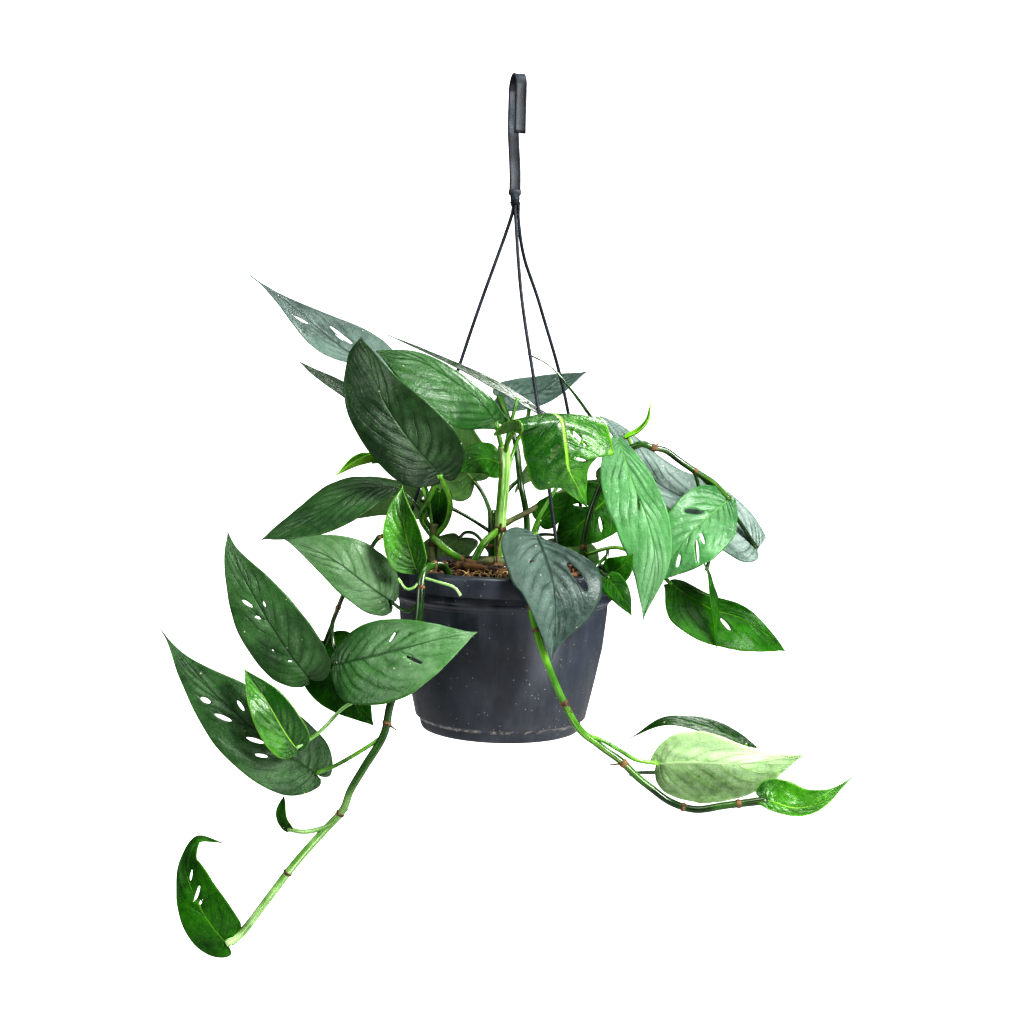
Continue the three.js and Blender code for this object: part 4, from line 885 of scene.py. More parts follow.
def blade_surface(rib, face, half, seed, fold=0, curl=0.1, wave=(0, 0, 0), taper=1, lean=0,
                  outline=blade_outline, crumple=1):
    """Returns at(along, across), which gives the blade's point and its upward direction there, and
    the midrib. rib is in millimetres, face is the way that the blade faces, half is each half's
    width, fold and curl bend the halves up, wave is the edge's height, count and phase, and taper
    and lean narrow and slant the halves."""
    course = Course(rib, 80)
    faces = [Vector(f) for f in face]
    folds = [math.radians(f) for f in pair_of(fold)]
    curls = [math.radians(c) for c in pair_of(curl)]
    tapers = pair_of(taper)
    leans = pair_of(lean)

    def at(along, across):
        row = smooth_point(outline, along)
        away = abs(across)
        side = 1 if across < 0 else 0
        ragged = 1 + 0.03 * noise.noise(Vector((along * 13, side * 5, seed * 3.7)))
        reach = max(row.z, 0) ** tapers[side] * ragged
        slant = leans[side] * SLANT_PEAK * along * (1 - along) ** 2
        share = row.x + (row.y - row.x + slant) * away
        inside = min(max(share, 0), 1)
        rib_point, ahead = course.at(inside)
        up = smooth_point(faces, inside) if len(faces) > 1 else faces[0]
        left = up.cross(ahead).normalized()
        normal = ahead.cross(left)
        width = half[side] * MM
        out = away * reach * width
        bend, curve = folds[side], curls[side]
        flat = width / curve * (math.sin(bend + curve * out / width) - math.sin(bend))
        lift = width / curve * (math.cos(bend) - math.cos(bend + curve * out / width))
        height, count, phase = wave
        turn = count * along + phase + (0.35 if side else 0)
        ripple = height * MM * away * away * reach * math.sin(math.tau * turn)
        vein = (VEIN_PAIRS * (along - VEIN_LEAN * away - VEIN_BEND * away * away) + 0.5 * side) % 1
        inner = min(1, away / 0.12) * min(1, (1 - away) / 0.15 + 0.15) * min(1, (1 - along) / 0.12)
        pucker = 0.9 + 1.3 * noise.noise(Vector((along * 6, across * 2.2, seed * 2.9)))
        quilt = QUILT_HEIGHT * MM * math.sin(math.pi * vein) ** 0.8 * inner * pucker * (1 - 0.6 * away)
        groove = 0.5 * QUILT_HEIGHT * MM * math.exp(-(away * reach * half[side] / 1.6) ** 2)
        sway = SWAY_HEIGHT * noise.noise(Vector((along * 3.1, across * 1.6 * reach, seed * 7.3)))
        dents = DENT_HEIGHT * noise.noise(Vector((along * 9, across * 3.5 * reach, seed * 5.1))) * inner
        point = rib_point + ahead * (share - inside) * course.length
        point += left * (-flat if side else flat) + normal * (
            lift + ripple + quilt - groove + (sway * away * reach + dents) * MM * crumple)
        return point, normal
    return at, course


HOLE_DEPTH = 0.006


def cut_hole(bm, at, along, across, end_along, end_across, width):
    """Takes out the faces inside an oval between two points and draws the rim onto the oval."""
    start, normal = at(along, across)
    end = at(end_along, end_across)[0]
    middle = (start + end) / 2
    length = (end - start).length
    lengthwise = (end - start).normalized()
    sideways = normal.cross(lengthwise).normalized()
    width *= MM

    def oval(point):
        off = point - middle
        return Vector((off.dot(lengthwise) * 2 / length, off.dot(sideways) * 2 / width,
                       off.dot(normal) / HOLE_DEPTH))

    gone = [f for f in bm.faces if oval(f.calc_center_median()).length < 1.05]
    rim = {corner for face in gone for corner in face.verts}
    bmesh.ops.delete(bm, geom=gone, context="FACES")
    for corner in rim:
        if corner.is_valid and corner.link_faces:
            spot = oval(corner.co)
            flat = max(math.hypot(spot.x, spot.y), 0.05)
            pull = (1 - flat) / flat
            corner.co += lengthwise * spot.x * pull * length / 2 + sideways * spot.y * pull * width / 2


BLADE_THICKNESS = 0.0006
GRID_LENGTH = 0.0013
GRID_WIDTH = 0.0017


def leaf(name, upper, under, slot, holes=(), painted_light_and_shade=(0, 0, 0), **form):
    """One blade: a fine grid laid over the blade's surface, its holes cut, given its thickness.
    Painted light and shade lightens it, or darkens it where negative: at the base, at the tip, and how much
    more on the left half than on the right."""
    at, course = blade_surface(seed=sum(map(ord, name)) % 97, **form)
    bm = bmesh.new()
    painted_light_layer = bm.verts.layers.float.new("painted_light_and_shade")
    uv = bm.loops.layers.uv.verify()
    steps = min(110, max(30, round(course.length / GRID_LENGTH)))
    sides = 2 * min(18, max(6, round(max(form["half"]) * MM / GRID_WIDTH)))
    shaped_grid(bm, steps, sides, lambda u, v: at(u, 2 * v - 1)[0])
    # Each corner keeps the light and shade painted on the blade, for its skin to read.
    for face in bm.faces:
        for loop in face.loops:
            u, v = loop[uv].uv
            loop.vert[painted_light_layer] = painted_light_and_shade[0] + (painted_light_and_shade[1] - painted_light_and_shade[0]) * u + painted_light_and_shade[2] * max(-1, min(1, 8 * v - 4))
    for hole in holes:
        cut_hole(bm, at, *hole)
    blade = piece_of(bm, name + "_blade", upper, under)
    skin = blade.modifiers.new("thickness", "SOLIDIFY")
    skin.thickness = BLADE_THICKNESS
    skin.offset = 0
    skin.material_offset = 1
    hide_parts(name)
    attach(blade, "root")


# What every blade's skin shows, worked out from its UV: u runs from base to tip, v across
blade_effect, blade_in, blade_out = effect_of(
    "blade_veins", {"Pairs": 11.0}, ["Midrib", "Vein", "Quilt", "Edge", "Mottle", "Fleck", "Crinkle"])


def reckon(how, *values):
    """A sum inside the blade's effect."""
    return maths(blade_effect, how, *values)


place = place_on(blade_effect)
spot = put(blade_effect, "ShaderNodeTexCoord").outputs["UV"]
spot = put(blade_effect, "ShaderNodeSeparateXYZ", {0: spot}).outputs
wobble = reckon("MULTIPLY_ADD", noise_of(blade_effect, place, 42, 3), 0.07, -0.035)
offset = reckon("SUBTRACT", spot["Y"], 0.5)
away = reckon("MULTIPLY", reckon("ABSOLUTE", offset), 2.0)
lean = reckon("MULTIPLY_ADD", away, VEIN_BEND, VEIN_LEAN)
along = reckon("ADD", reckon("SUBTRACT", spot["X"], reckon("MULTIPLY", lean, away)), wobble)
count = reckon("MULTIPLY", along, blade_in.outputs["Pairs"])
count = reckon("ADD", count, reckon("MULTIPLY", reckon("LESS_THAN", offset, 0.0), 0.5))
gap = reckon("SUBTRACT", 0.5, reckon("ABSOLUTE", reckon("SUBTRACT", reckon("FRACT", count), 0.5)))
fine = reckon("FRACT", reckon("MULTIPLY", count, 4.0))
fine_gap = reckon("ABSOLUTE", reckon("SUBTRACT", fine, 0.5))
line = reckon("MAXIMUM", between(blade_effect, gap, 0.0, VEIN_WIDTH, 1.0, 0.0),
              between(blade_effect, fine_gap, 0.0, 0.16, 0.28, 0.0))
fade = reckon("MULTIPLY", clouds(blade_effect, place, 70, 2, 0.35, 0.65, start=0.25),
              between(blade_effect, away, 0.35, 0.95, 1.0, 0.1))
for label, value in (
        ("Midrib", between(blade_effect, away, 0.012, 0.05, 1.0, 0.0)),
        ("Vein", reckon("MULTIPLY", line, fade)),
        ("Quilt", reckon("MULTIPLY", between(blade_effect, gap, 0.0, 0.5), fade)),
        ("Edge", between(blade_effect, away, 0.93, 1.0)),
        ("Mottle", clouds(blade_effect, place, 34, 6, 0.3, 0.7, 0.7)),
        ("Fleck", noise_of(blade_effect, place, 800, 2, 0.6)),
        ("Crinkle", noise_of(blade_effect, place, 230, 3, 0.6))):
    blade_effect.links.new(value, blade_out.inputs[label])

# The near-white that the pale bloom and the painted highlight lean towards.
BLOOM_AND_HIGHLIGHT_WHITE = 232


def leaf_finish(name, dark, light, vein, edge, rough, rib=None, bloom_and_highlight=0.0, raised=False, vein_show=0.3,
                pairs=VEIN_PAIRS, flecks=0.1, gloss=0.4):
    """A leathery skin from dark to light, with the colours of its veins, its edge and its midrib.
    The bloom is a pale satin haze on the quilts, partly wax bloom and partly painted highlight, and it also
    sets how much painted highlight shows where the painted light is strong; raised veins are for undersides."""
    material, tree, shader = finish_of(name)
    made = put(tree, "ShaderNodeGroup", {"Pairs": pairs}, node_tree=blade_effect).outputs
    dust = put(tree, "ShaderNodeGroup", {"Scale": 260, "Amount": flecks}, node_tree=dust_effect).outputs
    # The blade's painted light and shade, read from its attribute.
    painted_light_and_shade = put(tree, "ShaderNodeAttribute", attribute_name="painted_light_and_shade").outputs["Fac"]
    grit = maths(tree, "MULTIPLY_ADD", made["Mottle"], 0.8, -0.25)
    grit = maths(tree, "MULTIPLY_ADD", made["Crinkle"], 0.7, grit)
    # Mottle and crinkle, shifted lighter or darker by the painted light and shade.
    skin = blend_of(tree, maths(tree, "ADD", grit, painted_light_and_shade), paint(*dark), paint(*light))
    # A pale haze on the quilts, partly wax bloom and partly painted highlight, and more painted highlight
    # where the painted light is strong.
    bloom_and_highlight_share = maths(tree, "MULTIPLY", made["Quilt"], between(tree, made["Fleck"], 0.3, 0.8, 0.2 * bloom_and_highlight, bloom_and_highlight))
    painted_highlight = maths(tree, "MULTIPLY", between(tree, painted_light_and_shade, 0.1, 1.0),
                  between(tree, made["Mottle"], 0.2, 0.9, 0.2, 0.9))
    bloom_and_highlight_share = maths(tree, "MULTIPLY_ADD", painted_highlight, bloom_and_highlight, bloom_and_highlight_share)
    skin = blend_of(tree, bloom_and_highlight_share, skin, paint(*[c + (BLOOM_AND_HIGHLIGHT_WHITE - c) * 0.36 for c in light]))
    skin = tinted(tree, skin, made["Vein"], vein_show, vein)
    skin = tinted(tree, skin, made["Midrib"], 0.8, rib or edge)
    skin = tinted(tree, skin, made["Edge"], 0.35, edge)
    skin = tinted(tree, skin, dust["Speck"], 0.7, (196, 186, 158))
    way = -1.0 if raised else 1.0
    relief = maths(tree, "MULTIPLY", maths(tree, "MAXIMUM", made["Vein"], made["Midrib"]), -way)
    relief = maths(tree, "MULTIPLY_ADD", made["Quilt"], 0.4 * way, relief)
    relief = maths(tree, "MULTIPLY_ADD", made["Crinkle"], 1.6, relief)
    grain = bumped(tree, made["Fleck"], 0.3, 0.0003, Normal=bumped(tree, relief, 0.7, 0.0006))
    dress(tree, shader, skin, between(tree, made["Fleck"], 0.25, 0.75, rough - 0.07, rough + 0.07), grain)
    shader.inputs["Specular IOR Level"].default_value = gloss
    return material


under_skin = leaf_finish("under_skin", (60, 98, 44), (92, 128, 68), (114, 146, 84), (122, 150, 86), 0.55,
                         raised=True, gloss=0.25)
blue_grey = leaf_finish("blue_grey_leaf", (34, 52, 45), (78, 100, 89), (30, 44, 39), (62, 86, 62), 0.42,
                        rib=(36, 52, 44), bloom_and_highlight=0.6, pairs=13, flecks=0.2, gloss=0.35)
# Each row's three numbers of painted light and shade lighten or darken its blade at the base, at the tip and
# on the left half, where light or shade falls on it.
for row in (
    dict(name="leaf_top_left_long",
         rib=[(-108, 30, -233), (-145, 32, -209), (-178, 22, -182), (-215, 5, -156)], face=[(0.1, -0.7, 0.7)],
         half=(21, 29), curl=15, wave=(1, 2, 0), taper=2.67, lean=(0.2, -0.1), painted_light_and_shade=(0.9, -0.8, 0),
         holes=[(0.59, 0.7, 0.59, 0.3, 3), (0.56, -0.52, 0.46, -0.33, 4), (0.54, -0.3, 0.49, -0.25, 1.5)]),
    dict(name="leaf_back_grey", rib=[(-10, 80, -250), (26, 72, -244), (64, 58, -227)],
         face=[(0, -0.75, 0.65)], half=(18, 20), curl=12, wave=(0.8, 2, 0), painted_light_and_shade=(0.1, 0.2, 0)),
    dict(name="leaf_right_dark", rib=[(205, 12, -368), (166, 15, -338), (121, 17, -316), (72, 11, -266)],
         face=[(0, -0.85, 0.5)], half=(22, 22), fold=(4, 8), curl=-8, wave=(1.2, 2, 0), taper=(2.23, 0.48),
         lean=(-0.03, 0.11), outline=closed_outline, painted_light_and_shade=(0.6, 0.4, 0)),
    dict(name="leaf_front_split",
         rib=[(23, -85, -353), (31, -104, -372), (36, -115, -388), (38, -119, -409), (37, -118, -444)],
         face=[(0, -0.6, 0.8), (0, -0.9, 0.4), (0, -1, 0.05)], half=(38, 29), fold=(0, -6), curl=(-28, -20),
         wave=(1.3, 2, 0.4), taper=(2.23, 1), lean=(0.22, -0.08), painted_light_and_shade=(0.1, 0, -0.35),
         holes=[(0.44, 0.39, 0.51, 0.75, 6.5), (0.45, -0.28, 0.46, -0.47, 2.0)]),
    dict(name="leaf_rear_right", rib=[(76, 58, -318), (106, 76, -322), (142, 86, -348), (166, 82, -388)],
         face=[(0.2, 0.85, 0.5)], half=(28, 29), curl=-10, wave=(1, 2, 0.2)),
):
    leaf(upper=blue_grey, under=under_skin, slot="leaf_deep", **row)


# Deep green leaves of the crown. The same blades a little younger, so that green shows through the
# bloom, whose pale haze is partly painted highlight.
deep_green = leaf_finish("deep_green_leaf", (14, 38, 12), (42, 72, 36), (18, 40, 16), (52, 90, 40), 0.4,
                         rib=(34, 62, 28), bloom_and_highlight=0.4, pairs=14, gloss=0.3)
for row in (
    dict(name="leaf_top_left_narrow", rib=[(-123, 0, -255), (-146, -6, -241), (-166, -12, -228)],
         face=[(0, -0.5, 0.85)], half=(11, 9), curl=20, taper=(0.97, 1.1), lean=(0.03, -0.08),
         painted_light_and_shade=(-0.6, -0.6, 0)),
    dict(name="leaf_crown_big",
         rib=[(-50, -62, -313), (-70, -78, -290), (-93, -82, -257), (-107, -67, -223), (-114, -43, -209)],
         face=[(-0.1, -0.9, 0.35), (-0.15, -0.9, 0.35), (-0.2, -0.4, 0.9)], half=(30, 31), fold=(6, 12),
         curl=(-12, 10), wave=(1.2, 2, 0.2), taper=(0.92, 1.93), lean=(0.13, -0.02),
         painted_light_and_shade=(-0.35, -0.25, -0.3)),
    dict(name="leaf_crown_dark", rib=[(18, 4, -258), (-14, -8, -241), (-55, -14, -222), (-97, -14, -205)],
         face=[(0.15, -0.4, 0.9)], half=(9, 8), curl=12, wave=(0.8, 2, 0), taper=(1.02, 1.24),
         lean=(-0.09, -0.1), painted_light_and_shade=(-0.3, -0.5, 0)),
    dict(name="leaf_rear_crown", rib=[(-28, 74, -322), (-56, 94, -290), (-82, 98, -254), (-94, 88, -226)],
         face=[(-0.1, 0.9, 0.4)], half=(30, 30), curl=-10, wave=(1, 2, 0.3)),
):
    leaf(upper=deep_green, under=under_skin, slot="leaf_deep", **row)


# Dark satin leaves. Older blades on the left vine and deep in the plant: the same leathery skin in
# dark green, with a broad soft sheen that is partly wax bloom and partly painted highlight.
satin_green = leaf_finish("satin_green_leaf", (18, 48, 18), (54, 90, 46), (22, 46, 18), (62, 100, 40), 0.38,
                          rib=(26, 52, 20), bloom_and_highlight=0.45, gloss=0.3)
for row in (
    dict(name="leaf_back_edge", rib=[(66, 12, -266), (49, -5, -245), (31, -12, -226), (12, -6, -216)],
         face=[(0.7, -0.1, 0.7)], half=(11, 11), curl=10),
    dict(name="leaf_left_upper",
         rib=[(-84, -38, -324), (-110, -52, -326), (-140, -60, -343), (-186, -55, -366)],
         face=[(-0.1, -0.65, 0.75)], half=(23, 23), curl=(-10, -8), wave=(1, 2, 0), taper=(1.04, 1.05),
         lean=0.22, painted_light_and_shade=(0.1, -0.05, 0)),
    dict(name="leaf_left_satin",
         rib=[(-84, -74, -409), (-105, -88, -392), (-121, -95, -379), (-139, -92, -370), (-164, -82, -363)],
         face=[(-0.15, -0.85, 0.45)], half=(18, 26), curl=(-10, -6), wave=(1, 2, 0.3), taper=(1.09, 1.15),
         lean=(0.04, 0.07), crumple=1.3, painted_light_and_shade=(1.1, 0.5, 0)),
    dict(name="leaf_left_tall",
         rib=[(-146, -66, -470), (-162, -77, -446), (-181, -84, -414), (-202, -78, -379), (-209, -70, -359)],
         face=[(-0.2, -0.9, 0.3)], half=(25, 26), fold=6, curl=(-12, -6), wave=(1.2, 2.5, 0),
         taper=(1.16, 1.13), lean=(0.08, 0.01), painted_light_and_shade=(0.1, 0.1, 0),
         holes=[(0.64, 0.56, 0.63, 0.27, 2.5), (0.59, 0.35, 0.59, 0.18, 2), (0.64, -0.26, 0.62, -0.21, 1.5),
                (0.45, 0.38, 0.45, 0.28, 1.5), (0.4, 0.17, 0.4, 0.06, 1.5)]),
    dict(name="leaf_left_long",
         rib=[(-138, -70, -543), (-164, -88, -519), (-195, -97, -492), (-232, -90, -461), (-258, -75, -433)],
         face=[(-0.1, -0.85, 0.5)], half=(31, 28), fold=6, curl=(-12, -10), wave=(1.2, 3, 0),
         taper=(1.74, 1.68), lean=(0.04, 0), painted_light_and_shade=(0.1, -0.1, 0),
         holes=[(0.66, 0.63, 0.65, 0.43, 3.5), (0.61, 0.56, 0.59, 0.3, 3), (0.61, -0.42, 0.59, -0.27, 2.5),
                (0.53, 0.34, 0.5, 0.14, 3), (0.47, 0.51, 0.45, 0.34, 2.5)]),
    dict(name="leaf_rear_left", rib=[(-72, 42, -338), (-112, 64, -336), (-150, 70, -350), (-178, 62, -372)],
         face=[(-0.2, 0.8, 0.6)], half=(25, 24), curl=-10, wave=(1, 2, 0)),
    dict(name="leaf_rear_low_right", rib=[(50, 88, -372), (60, 108, -386), (62, 118, -420), (52, 114, -458)],
         face=[(0.1, 0.6, 0.8), (0.2, 1, 0.1)], half=(22, 23), curl=-10, wave=(1, 2, 0)),
    dict(name="leaf_rear_vine_upper",
         rib=[(10, 120, -418), (-10, 130, -436), (-22, 130, -464), (-20, 124, -496)], face=[(-0.1, 1, 0.25)],
         half=(23, 24), curl=-10, wave=(1, 2, 0)),
):
    leaf(upper=satin_green, under=under_skin, slot="leaf_dark", **row)


# Shaded leaves. Thinner blades low down on the vines and inside the plant, each on its petiole.
# They are a saturated green, with hardly any bloom or gloss.
shade_green = leaf_finish("shade_green_leaf", (12, 50, 2), (40, 98, 5), (24, 62, 6), (76, 122, 24), 0.38,
                          bloom_and_highlight=0.08, vein_show=0.25, gloss=0.14)
for row in (
    dict(name="leaf_right_deep", rib=[(132, -18, -395), (159, -42, -410), (187, -52, -418), (218, -50, -441)],
         face=[(0, -0.75, 0.65)], half=(11, 33), fold=8, curl=(-5, -12), wave=(1, 2.5, 0), taper=(0.75, 0.97),
         lean=(0.12, 0.22), holes=[(0.58, -0.23, 0.58, -0.57, 3)]),
    dict(name="leaf_right_edge", rib=[(158, -30, -381), (160, -58, -398), (162, -72, -438)],
         face=[(0.8, -0.6, 0.1)], half=(9, 9), curl=15, taper=1.5),
    dict(name="leaf_left_shade", rib=[(-137, -53, -443), (-128, -57, -470), (-97, -60, -506)],
         face=[(-0.2, -0.95, 0.15)], half=(27, 25), curl=-8, wave=(1, 2, 0.2), crumple=1.8,
         painted_light_and_shade=(-0.2, -0.2, 0)),
    dict(name="leaf_left_bud", rib=[(-157, -76, -585), (-162, -80, -572), (-161, -82, -557)],
         face=[(-0.5, -0.8, 0.2)], half=(6, 6), curl=30, taper=(0.83, 0.73), lean=(0.07, 0.06)),
    dict(name="leaf_lowest",
         rib=[(-204, -72, -676), (-216, -86, -652), (-228, -85, -631), (-236, -76, -611), (-229, -68, -594),
              (-209, -66, -599)],
         face=[(-0.05, -0.85, 0.5), (-0.1, -0.95, 0.2), (-0.6, -0.5, 0.6), (0.2, -0.7, 0.7)], half=(19, 20),
         fold=(8, 5), curl=(-6, -10), wave=(1.2, 2, 0.1), taper=(2.56, 1.06), lean=(-0.04, 0.05), crumple=1.4,
         holes=[(0.64, -0.51, 0.64, -0.09, 2.5), (0.57, -0.53, 0.56, 0.2, 2.5),
                (0.54, -0.3, 0.55, -0.02, 2.0)]),
    dict(name="leaf_inner_mid", rib=[(-6, 22, -304), (-22, 12, -301), (-44, -2, -312)],
         face=[(0, -0.85, 0.5)], half=(16, 16), curl=-8),
    dict(name="leaf_inner_hanging", rib=[(-52, -20, -326), (-53, -25, -341), (-54, -24, -360)],
         face=[(0, -1, 0.1)], half=(10, 10), curl=-10),
    dict(name="leaf_inner_right", rib=[(84, 26, -330), (64, 20, -349), (40, 12, -372)], face=[(0, -0.9, 0.4)],
         half=(25, 24), curl=-8, holes=[(0.48, 0.25, 0.52, 0.76, 2.5), (0.48, -0.25, 0.52, -0.76, 2.5)]),
    dict(name="leaf_inner_pale", rib=[(27, 0, -349), (40, -4, -336), (52, -6, -324)], face=[(0, -0.9, 0.4)],
         half=(12, 12)),
    dict(name="leaf_rim_small", rib=[(80, -64, -384), (88, -70, -378), (97, -70, -368)],
         face=[(0.2, -0.9, 0.3)], half=(11, 11)),
    dict(name="leaf_rim_pointed", rib=[(77, -86, -384), (86, -94, -395), (95, -96, -411)],
         face=[(0.1, -0.95, 0.2)], half=(9, 9)),
    dict(name="leaf_tail_thin",
         rib=[(188, -70, -511), (168, -76, -501), (143, -80, -493), (121, -83, -492), (98, -84, -505)],
         face=[(0, -0.35, 0.93)], half=(14, 13), curl=10, wave=(0.8, 2, 0), taper=(1.3, 1.5),
         lean=(-0.06, -0.08), painted_light_and_shade=(-0.9, -0.7, 0)),
):
    leaf(upper=shade_green, under=under_skin, slot="leaf_dark", **row)


# Mid green leaves. Full-grown blades nearer the light, on the left vine, in the crown and at the
# rear, greener than the satin ones, with more bloom, partly painted highlight, and a dark midrib.
full_green = leaf_finish("full_green_leaf", (18, 54, 15), (46, 90, 38), (20, 54, 17), (70, 114, 46), 0.36,
                         rib=(24, 60, 18), bloom_and_highlight=0.7, gloss=0.3)
for row in (
    dict(name="leaf_crown_green",
         rib=[(-9, -22, -272), (-24, -36, -254), (-47, -45, -238), (-73, -48, -225), (-103, -42, -220)],
         face=[(-0.15, -0.8, 0.6)], half=(36, 13), fold=(6, -6), curl=(-10, -20), wave=(1, 2, 0.5),
         taper=(1.09, 0.61), lean=(0.22, -0.1), painted_light_and_shade=(0.1, 0.15, 0)),
    dict(name="leaf_left_rim",
         rib=[(-124, -90, -455), (-98, -106, -446), (-71, -116, -437), (-45, -118, -429), (-18, -112, -424)],
         face=[(0, -0.85, 0.5)], half=(27, 38), fold=6, curl=(-12, -14), wave=(1.2, 2.5, 0.2),
         taper=(1.29, 1.03), lean=(0.07, 0.13), crumple=1.3, painted_light_and_shade=(-0.6, 1.5, 0),
         holes=[(0.63, -0.24, 0.64, -0.64, 2.5), (0.56, 0.64, 0.56, 0.31, 2.0),
                (0.63, 0.62, 0.63, 0.48, 1.5)]),
    dict(name="leaf_rear_centre", rib=[(12, 76, -318), (28, 98, -302), (48, 106, -292), (74, 102, -296)],
         face=[(0, 0.7, 0.7)], half=(24, 24), curl=-10, wave=(1, 2, 0.5)),
    dict(name="leaf_rear_low_left",
         rib=[(-40, 88, -372), (-54, 108, -386), (-60, 118, -420), (-54, 114, -458)],
         face=[(-0.1, 0.6, 0.8), (-0.2, 1, 0.1)], half=(22, 23), curl=-10, wave=(1, 2, 0.4)),
    dict(name="leaf_rear_vine_lower", rib=[(6, 119, -470), (20, 128, -486), (32, 126, -510), (32, 120, -536)],
         face=[(0.1, 1, 0.25)], half=(18, 18), curl=-10),
):
    leaf(upper=full_green, under=under_skin, slot="leaf_mid", **row)


# Pale leaves. Two full-grown blades that hang from the right vine and face the light, pale green
# under a silvery wax bloom. The bloom is partly painted highlight, and each blade is painted darker
# at its base and lighter towards its tip as painted shade and light.
silver_green = leaf_finish("silver_green_leaf", (38, 90, 40), (76, 130, 75), (40, 88, 42), (80, 126, 62),
                           0.36, bloom_and_highlight=0.75, gloss=0.35)
for row in (
    dict(name="leaf_right_hanging",
         rib=[(87, -18, -282), (99, -42, -319), (109, -50, -344), (116, -46, -378), (110, -30, -424)],
         face=[(0.05, -0.85, 0.5), (0.1, -0.95, 0.2)], half=(17, 26), fold=(8, 4), curl=(-8, -10),
         wave=(1, 2, 0.3), taper=(1.44, 1.09), lean=(0.16, 0.14), painted_light_and_shade=(-0.4, 0.9, 0),
         holes=[(0.53, 0.02, 0.55, -0.2, 2)]),
    dict(name="leaf_right_pale", rib=[(178, -8, -327), (156, -26, -343), (137, -34, -363), (121, -33, -392)],
         face=[(0, -0.9, 0.4)], half=(28, 25), fold=10, curl=-8, wave=(1.5, 2, 0.1), taper=(1.05, 0.6),
         lean=(0.22, 0.13), crumple=1.4, painted_light_and_shade=(-0.8, 0.7, 0),
         holes=[(0.49, -0.68, 0.49, -0.2, 4.5), (0.58, 0.2, 0.55, 0.57, 2.5), (0.61, 0.27, 0.61, 0.92, 3),
                (0.73, 0.28, 0.75, 0.7, 2.5)]),
):
    leaf(upper=silver_green, under=under_skin, slot="leaf_pale", **row)


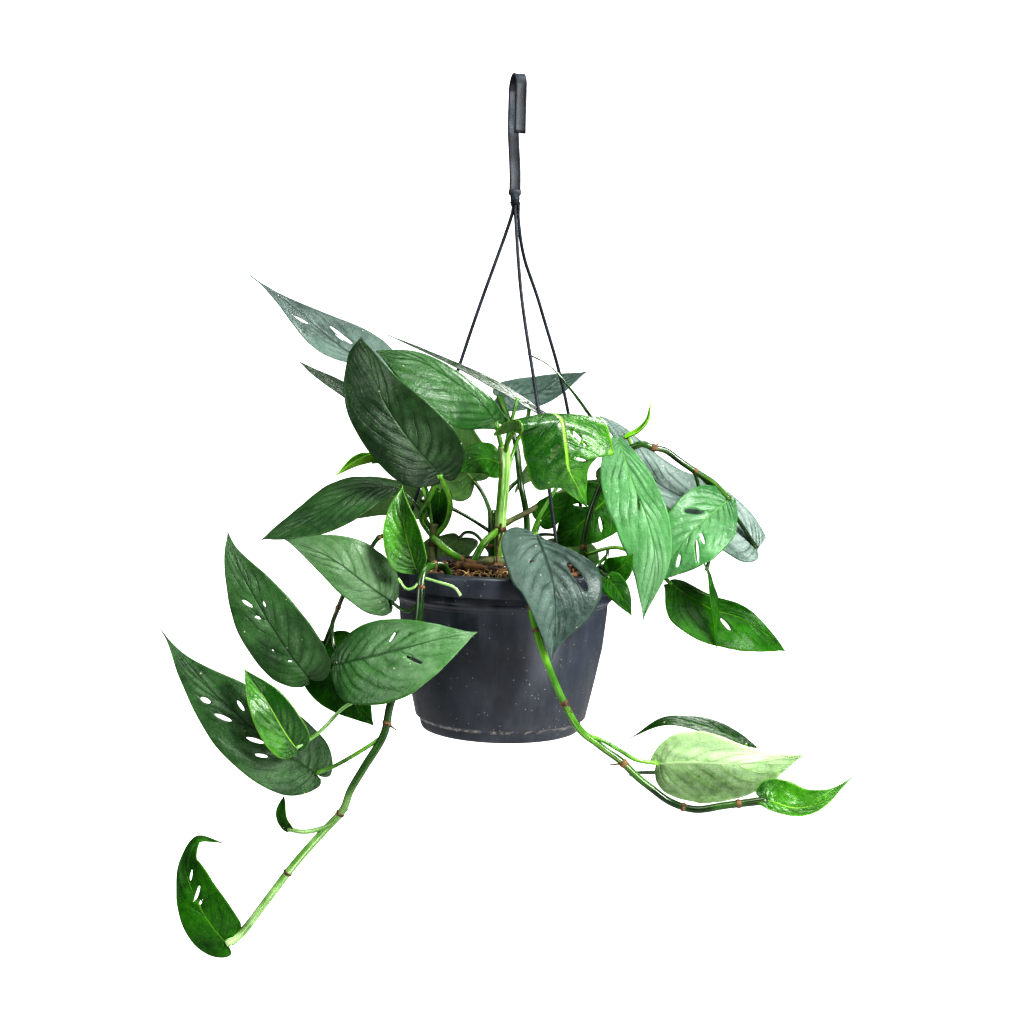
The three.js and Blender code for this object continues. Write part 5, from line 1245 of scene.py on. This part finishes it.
# Fresh leaves. The last blades to open, thin, glossy and saturated, with a yellow-green margin.
# They are still partly folded along the midrib, and their undersides are light green.
young_under = leaf_finish("young_under_skin", (74, 128, 26), (112, 160, 48), (140, 178, 76), (140, 178, 76),
                          0.4, raised=True)
fresh_green = leaf_finish("fresh_green_leaf", (16, 66, 3), (64, 126, 20), (30, 84, 8), (140, 190, 66), 0.3,
                          bloom_and_highlight=0.4, gloss=0.42)
for row in (
    dict(name="leaf_young_folded",
         rib=[(5, -78, -277), (18, -90, -269), (30, -101, -264), (38, -109, -268), (41, -112, -280),
              (43, -113, -293), (45, -111, -304), (52, -100, -317), (60, -89, -332)],
         face=[(-0.1, 0, 1), (0.15, -0.2, 0.95), (0.05, -0.85, 0.5), (0, -1, 0.05), (0.6, -0.7, 0.1)],
         half=(37, 31), fold=(-8, 0), curl=(-18, -12), wave=(0.8, 2.5, 0.2), outline=folded_outline,
         crumple=0.7, painted_light_and_shade=(-0.8, -0.1, 0.2),
         holes=[(0.51, 0.15, 0.6, 0.42, 3), (0.57, -0.17, 0.66, -0.42, 3.5), (0.65, 0.1, 0.72, 0.44, 2)]),
    dict(name="leaf_left_young",
         rib=[(-149, -100, -517), (-159, -109, -499), (-170, -112, -479), (-188, -105, -457)],
         face=[(-0.1, -0.95, 0.3)], half=(18, 16), fold=(30, 8), curl=(6, -8), wave=(0.8, 2, 0),
         taper=(0.92, 1.08), lean=(0.1, 0.06), painted_light_and_shade=(-0.5, -0.35, 0.4)),
    dict(name="leaf_inner_upright",
         rib=[(-65, -84, -384), (-72, -91, -360), (-77, -90, -337), (-77, -85, -320)],
         face=[(-0.2, -0.95, 0.1)], half=(19, 19), fold=(30, 35), curl=8, wave=(1, 1.5, 0), taper=(1.34, 1.3),
         lean=(0.11, 0.14), painted_light_and_shade=(-0.1, 0, 0.1)),
    dict(name="leaf_tail_end",
         rib=[(196, -110, -542), (219, -113, -547), (239, -113, -540), (262, -108, -522)],
         face=[(-0.1, -0.7, 0.7)], half=(19, 8), fold=(25, 8), curl=(10, -10), wave=(0.8, 2, 0),
         taper=(2.22, 1.9), lean=(-0.07, -0.05), crumple=2.6, painted_light_and_shade=(-0.5, 0.4, 0)),
):
    leaf(upper=fresh_green, under=young_under, slot="leaf_young", **row)


# Rolled leaves. The newest blades, bright yellow-green, each at the tip of a shoot or on a short
# petiole. They are not yet open: both halves stand up from the midrib.
young_green = leaf_finish("young_green_leaf", (60, 132, 16), (108, 172, 36), (84, 150, 30), (160, 200, 76),
                          0.28, bloom_and_highlight=0.2)
for row in (
    dict(name="leaf_rolled_left", rib=[(-102, -50, -304), (-115, -60, -308), (-129, -65, -315)],
         face=[(0, -0.3, 0.95)], half=(8, 8), fold=50, curl=30, painted_light_and_shade=(0.5, 0.5, 0)),
    dict(name="leaf_rolled_right", rib=[(95, 3, -281), (105, 2, -276), (112, 0, -266), (113, -1, -251)],
         face=[(-0.6, -0.5, 0.6)], half=(4, 4), fold=45, curl=25, painted_light_and_shade=(0.4, 0.4, 0)),
    dict(name="leaf_rear_vine_tip", rib=[(-6, 113, -524), (-13, 118, -535), (-20, 115, -551)],
         face=[(-0.1, 1, 0.1)], half=(9, 9), fold=20),
):
    leaf(upper=young_green, under=young_under, slot="leaf_young", **row)


# Turned leaf. One broad blade on the front vine has turned over and shows its pale, matt underside,
# with raised veins and midrib. Its pale haze is partly painted highlight, and it is painted darker
# at the base, lighter towards the tip and darker on its left half as painted shade and light.
pale_under = leaf_finish("pale_under_skin", (62, 98, 36), (152, 186, 128), (124, 162, 96), (174, 202, 146),
                         0.4, bloom_and_highlight=0.8, raised=True, vein_show=0.4)
for row in (
    dict(name="leaf_tail_pale",
         rib=[(117, -95, -521), (143, -104, -517), (178, -108, -516), (225, -100, -510)],
         face=[(0, 0.9, 0.35)], half=(42, 24), fold=6, curl=(6, 8), wave=(1.2, 2.5, 0), taper=(0.81, 2.23),
         lean=0.05, crumple=2.2, painted_light_and_shade=(-0.3, 0.8, -0.4)),
):
    leaf(upper=under_skin, under=pale_under, slot="leaf_pale", **row)
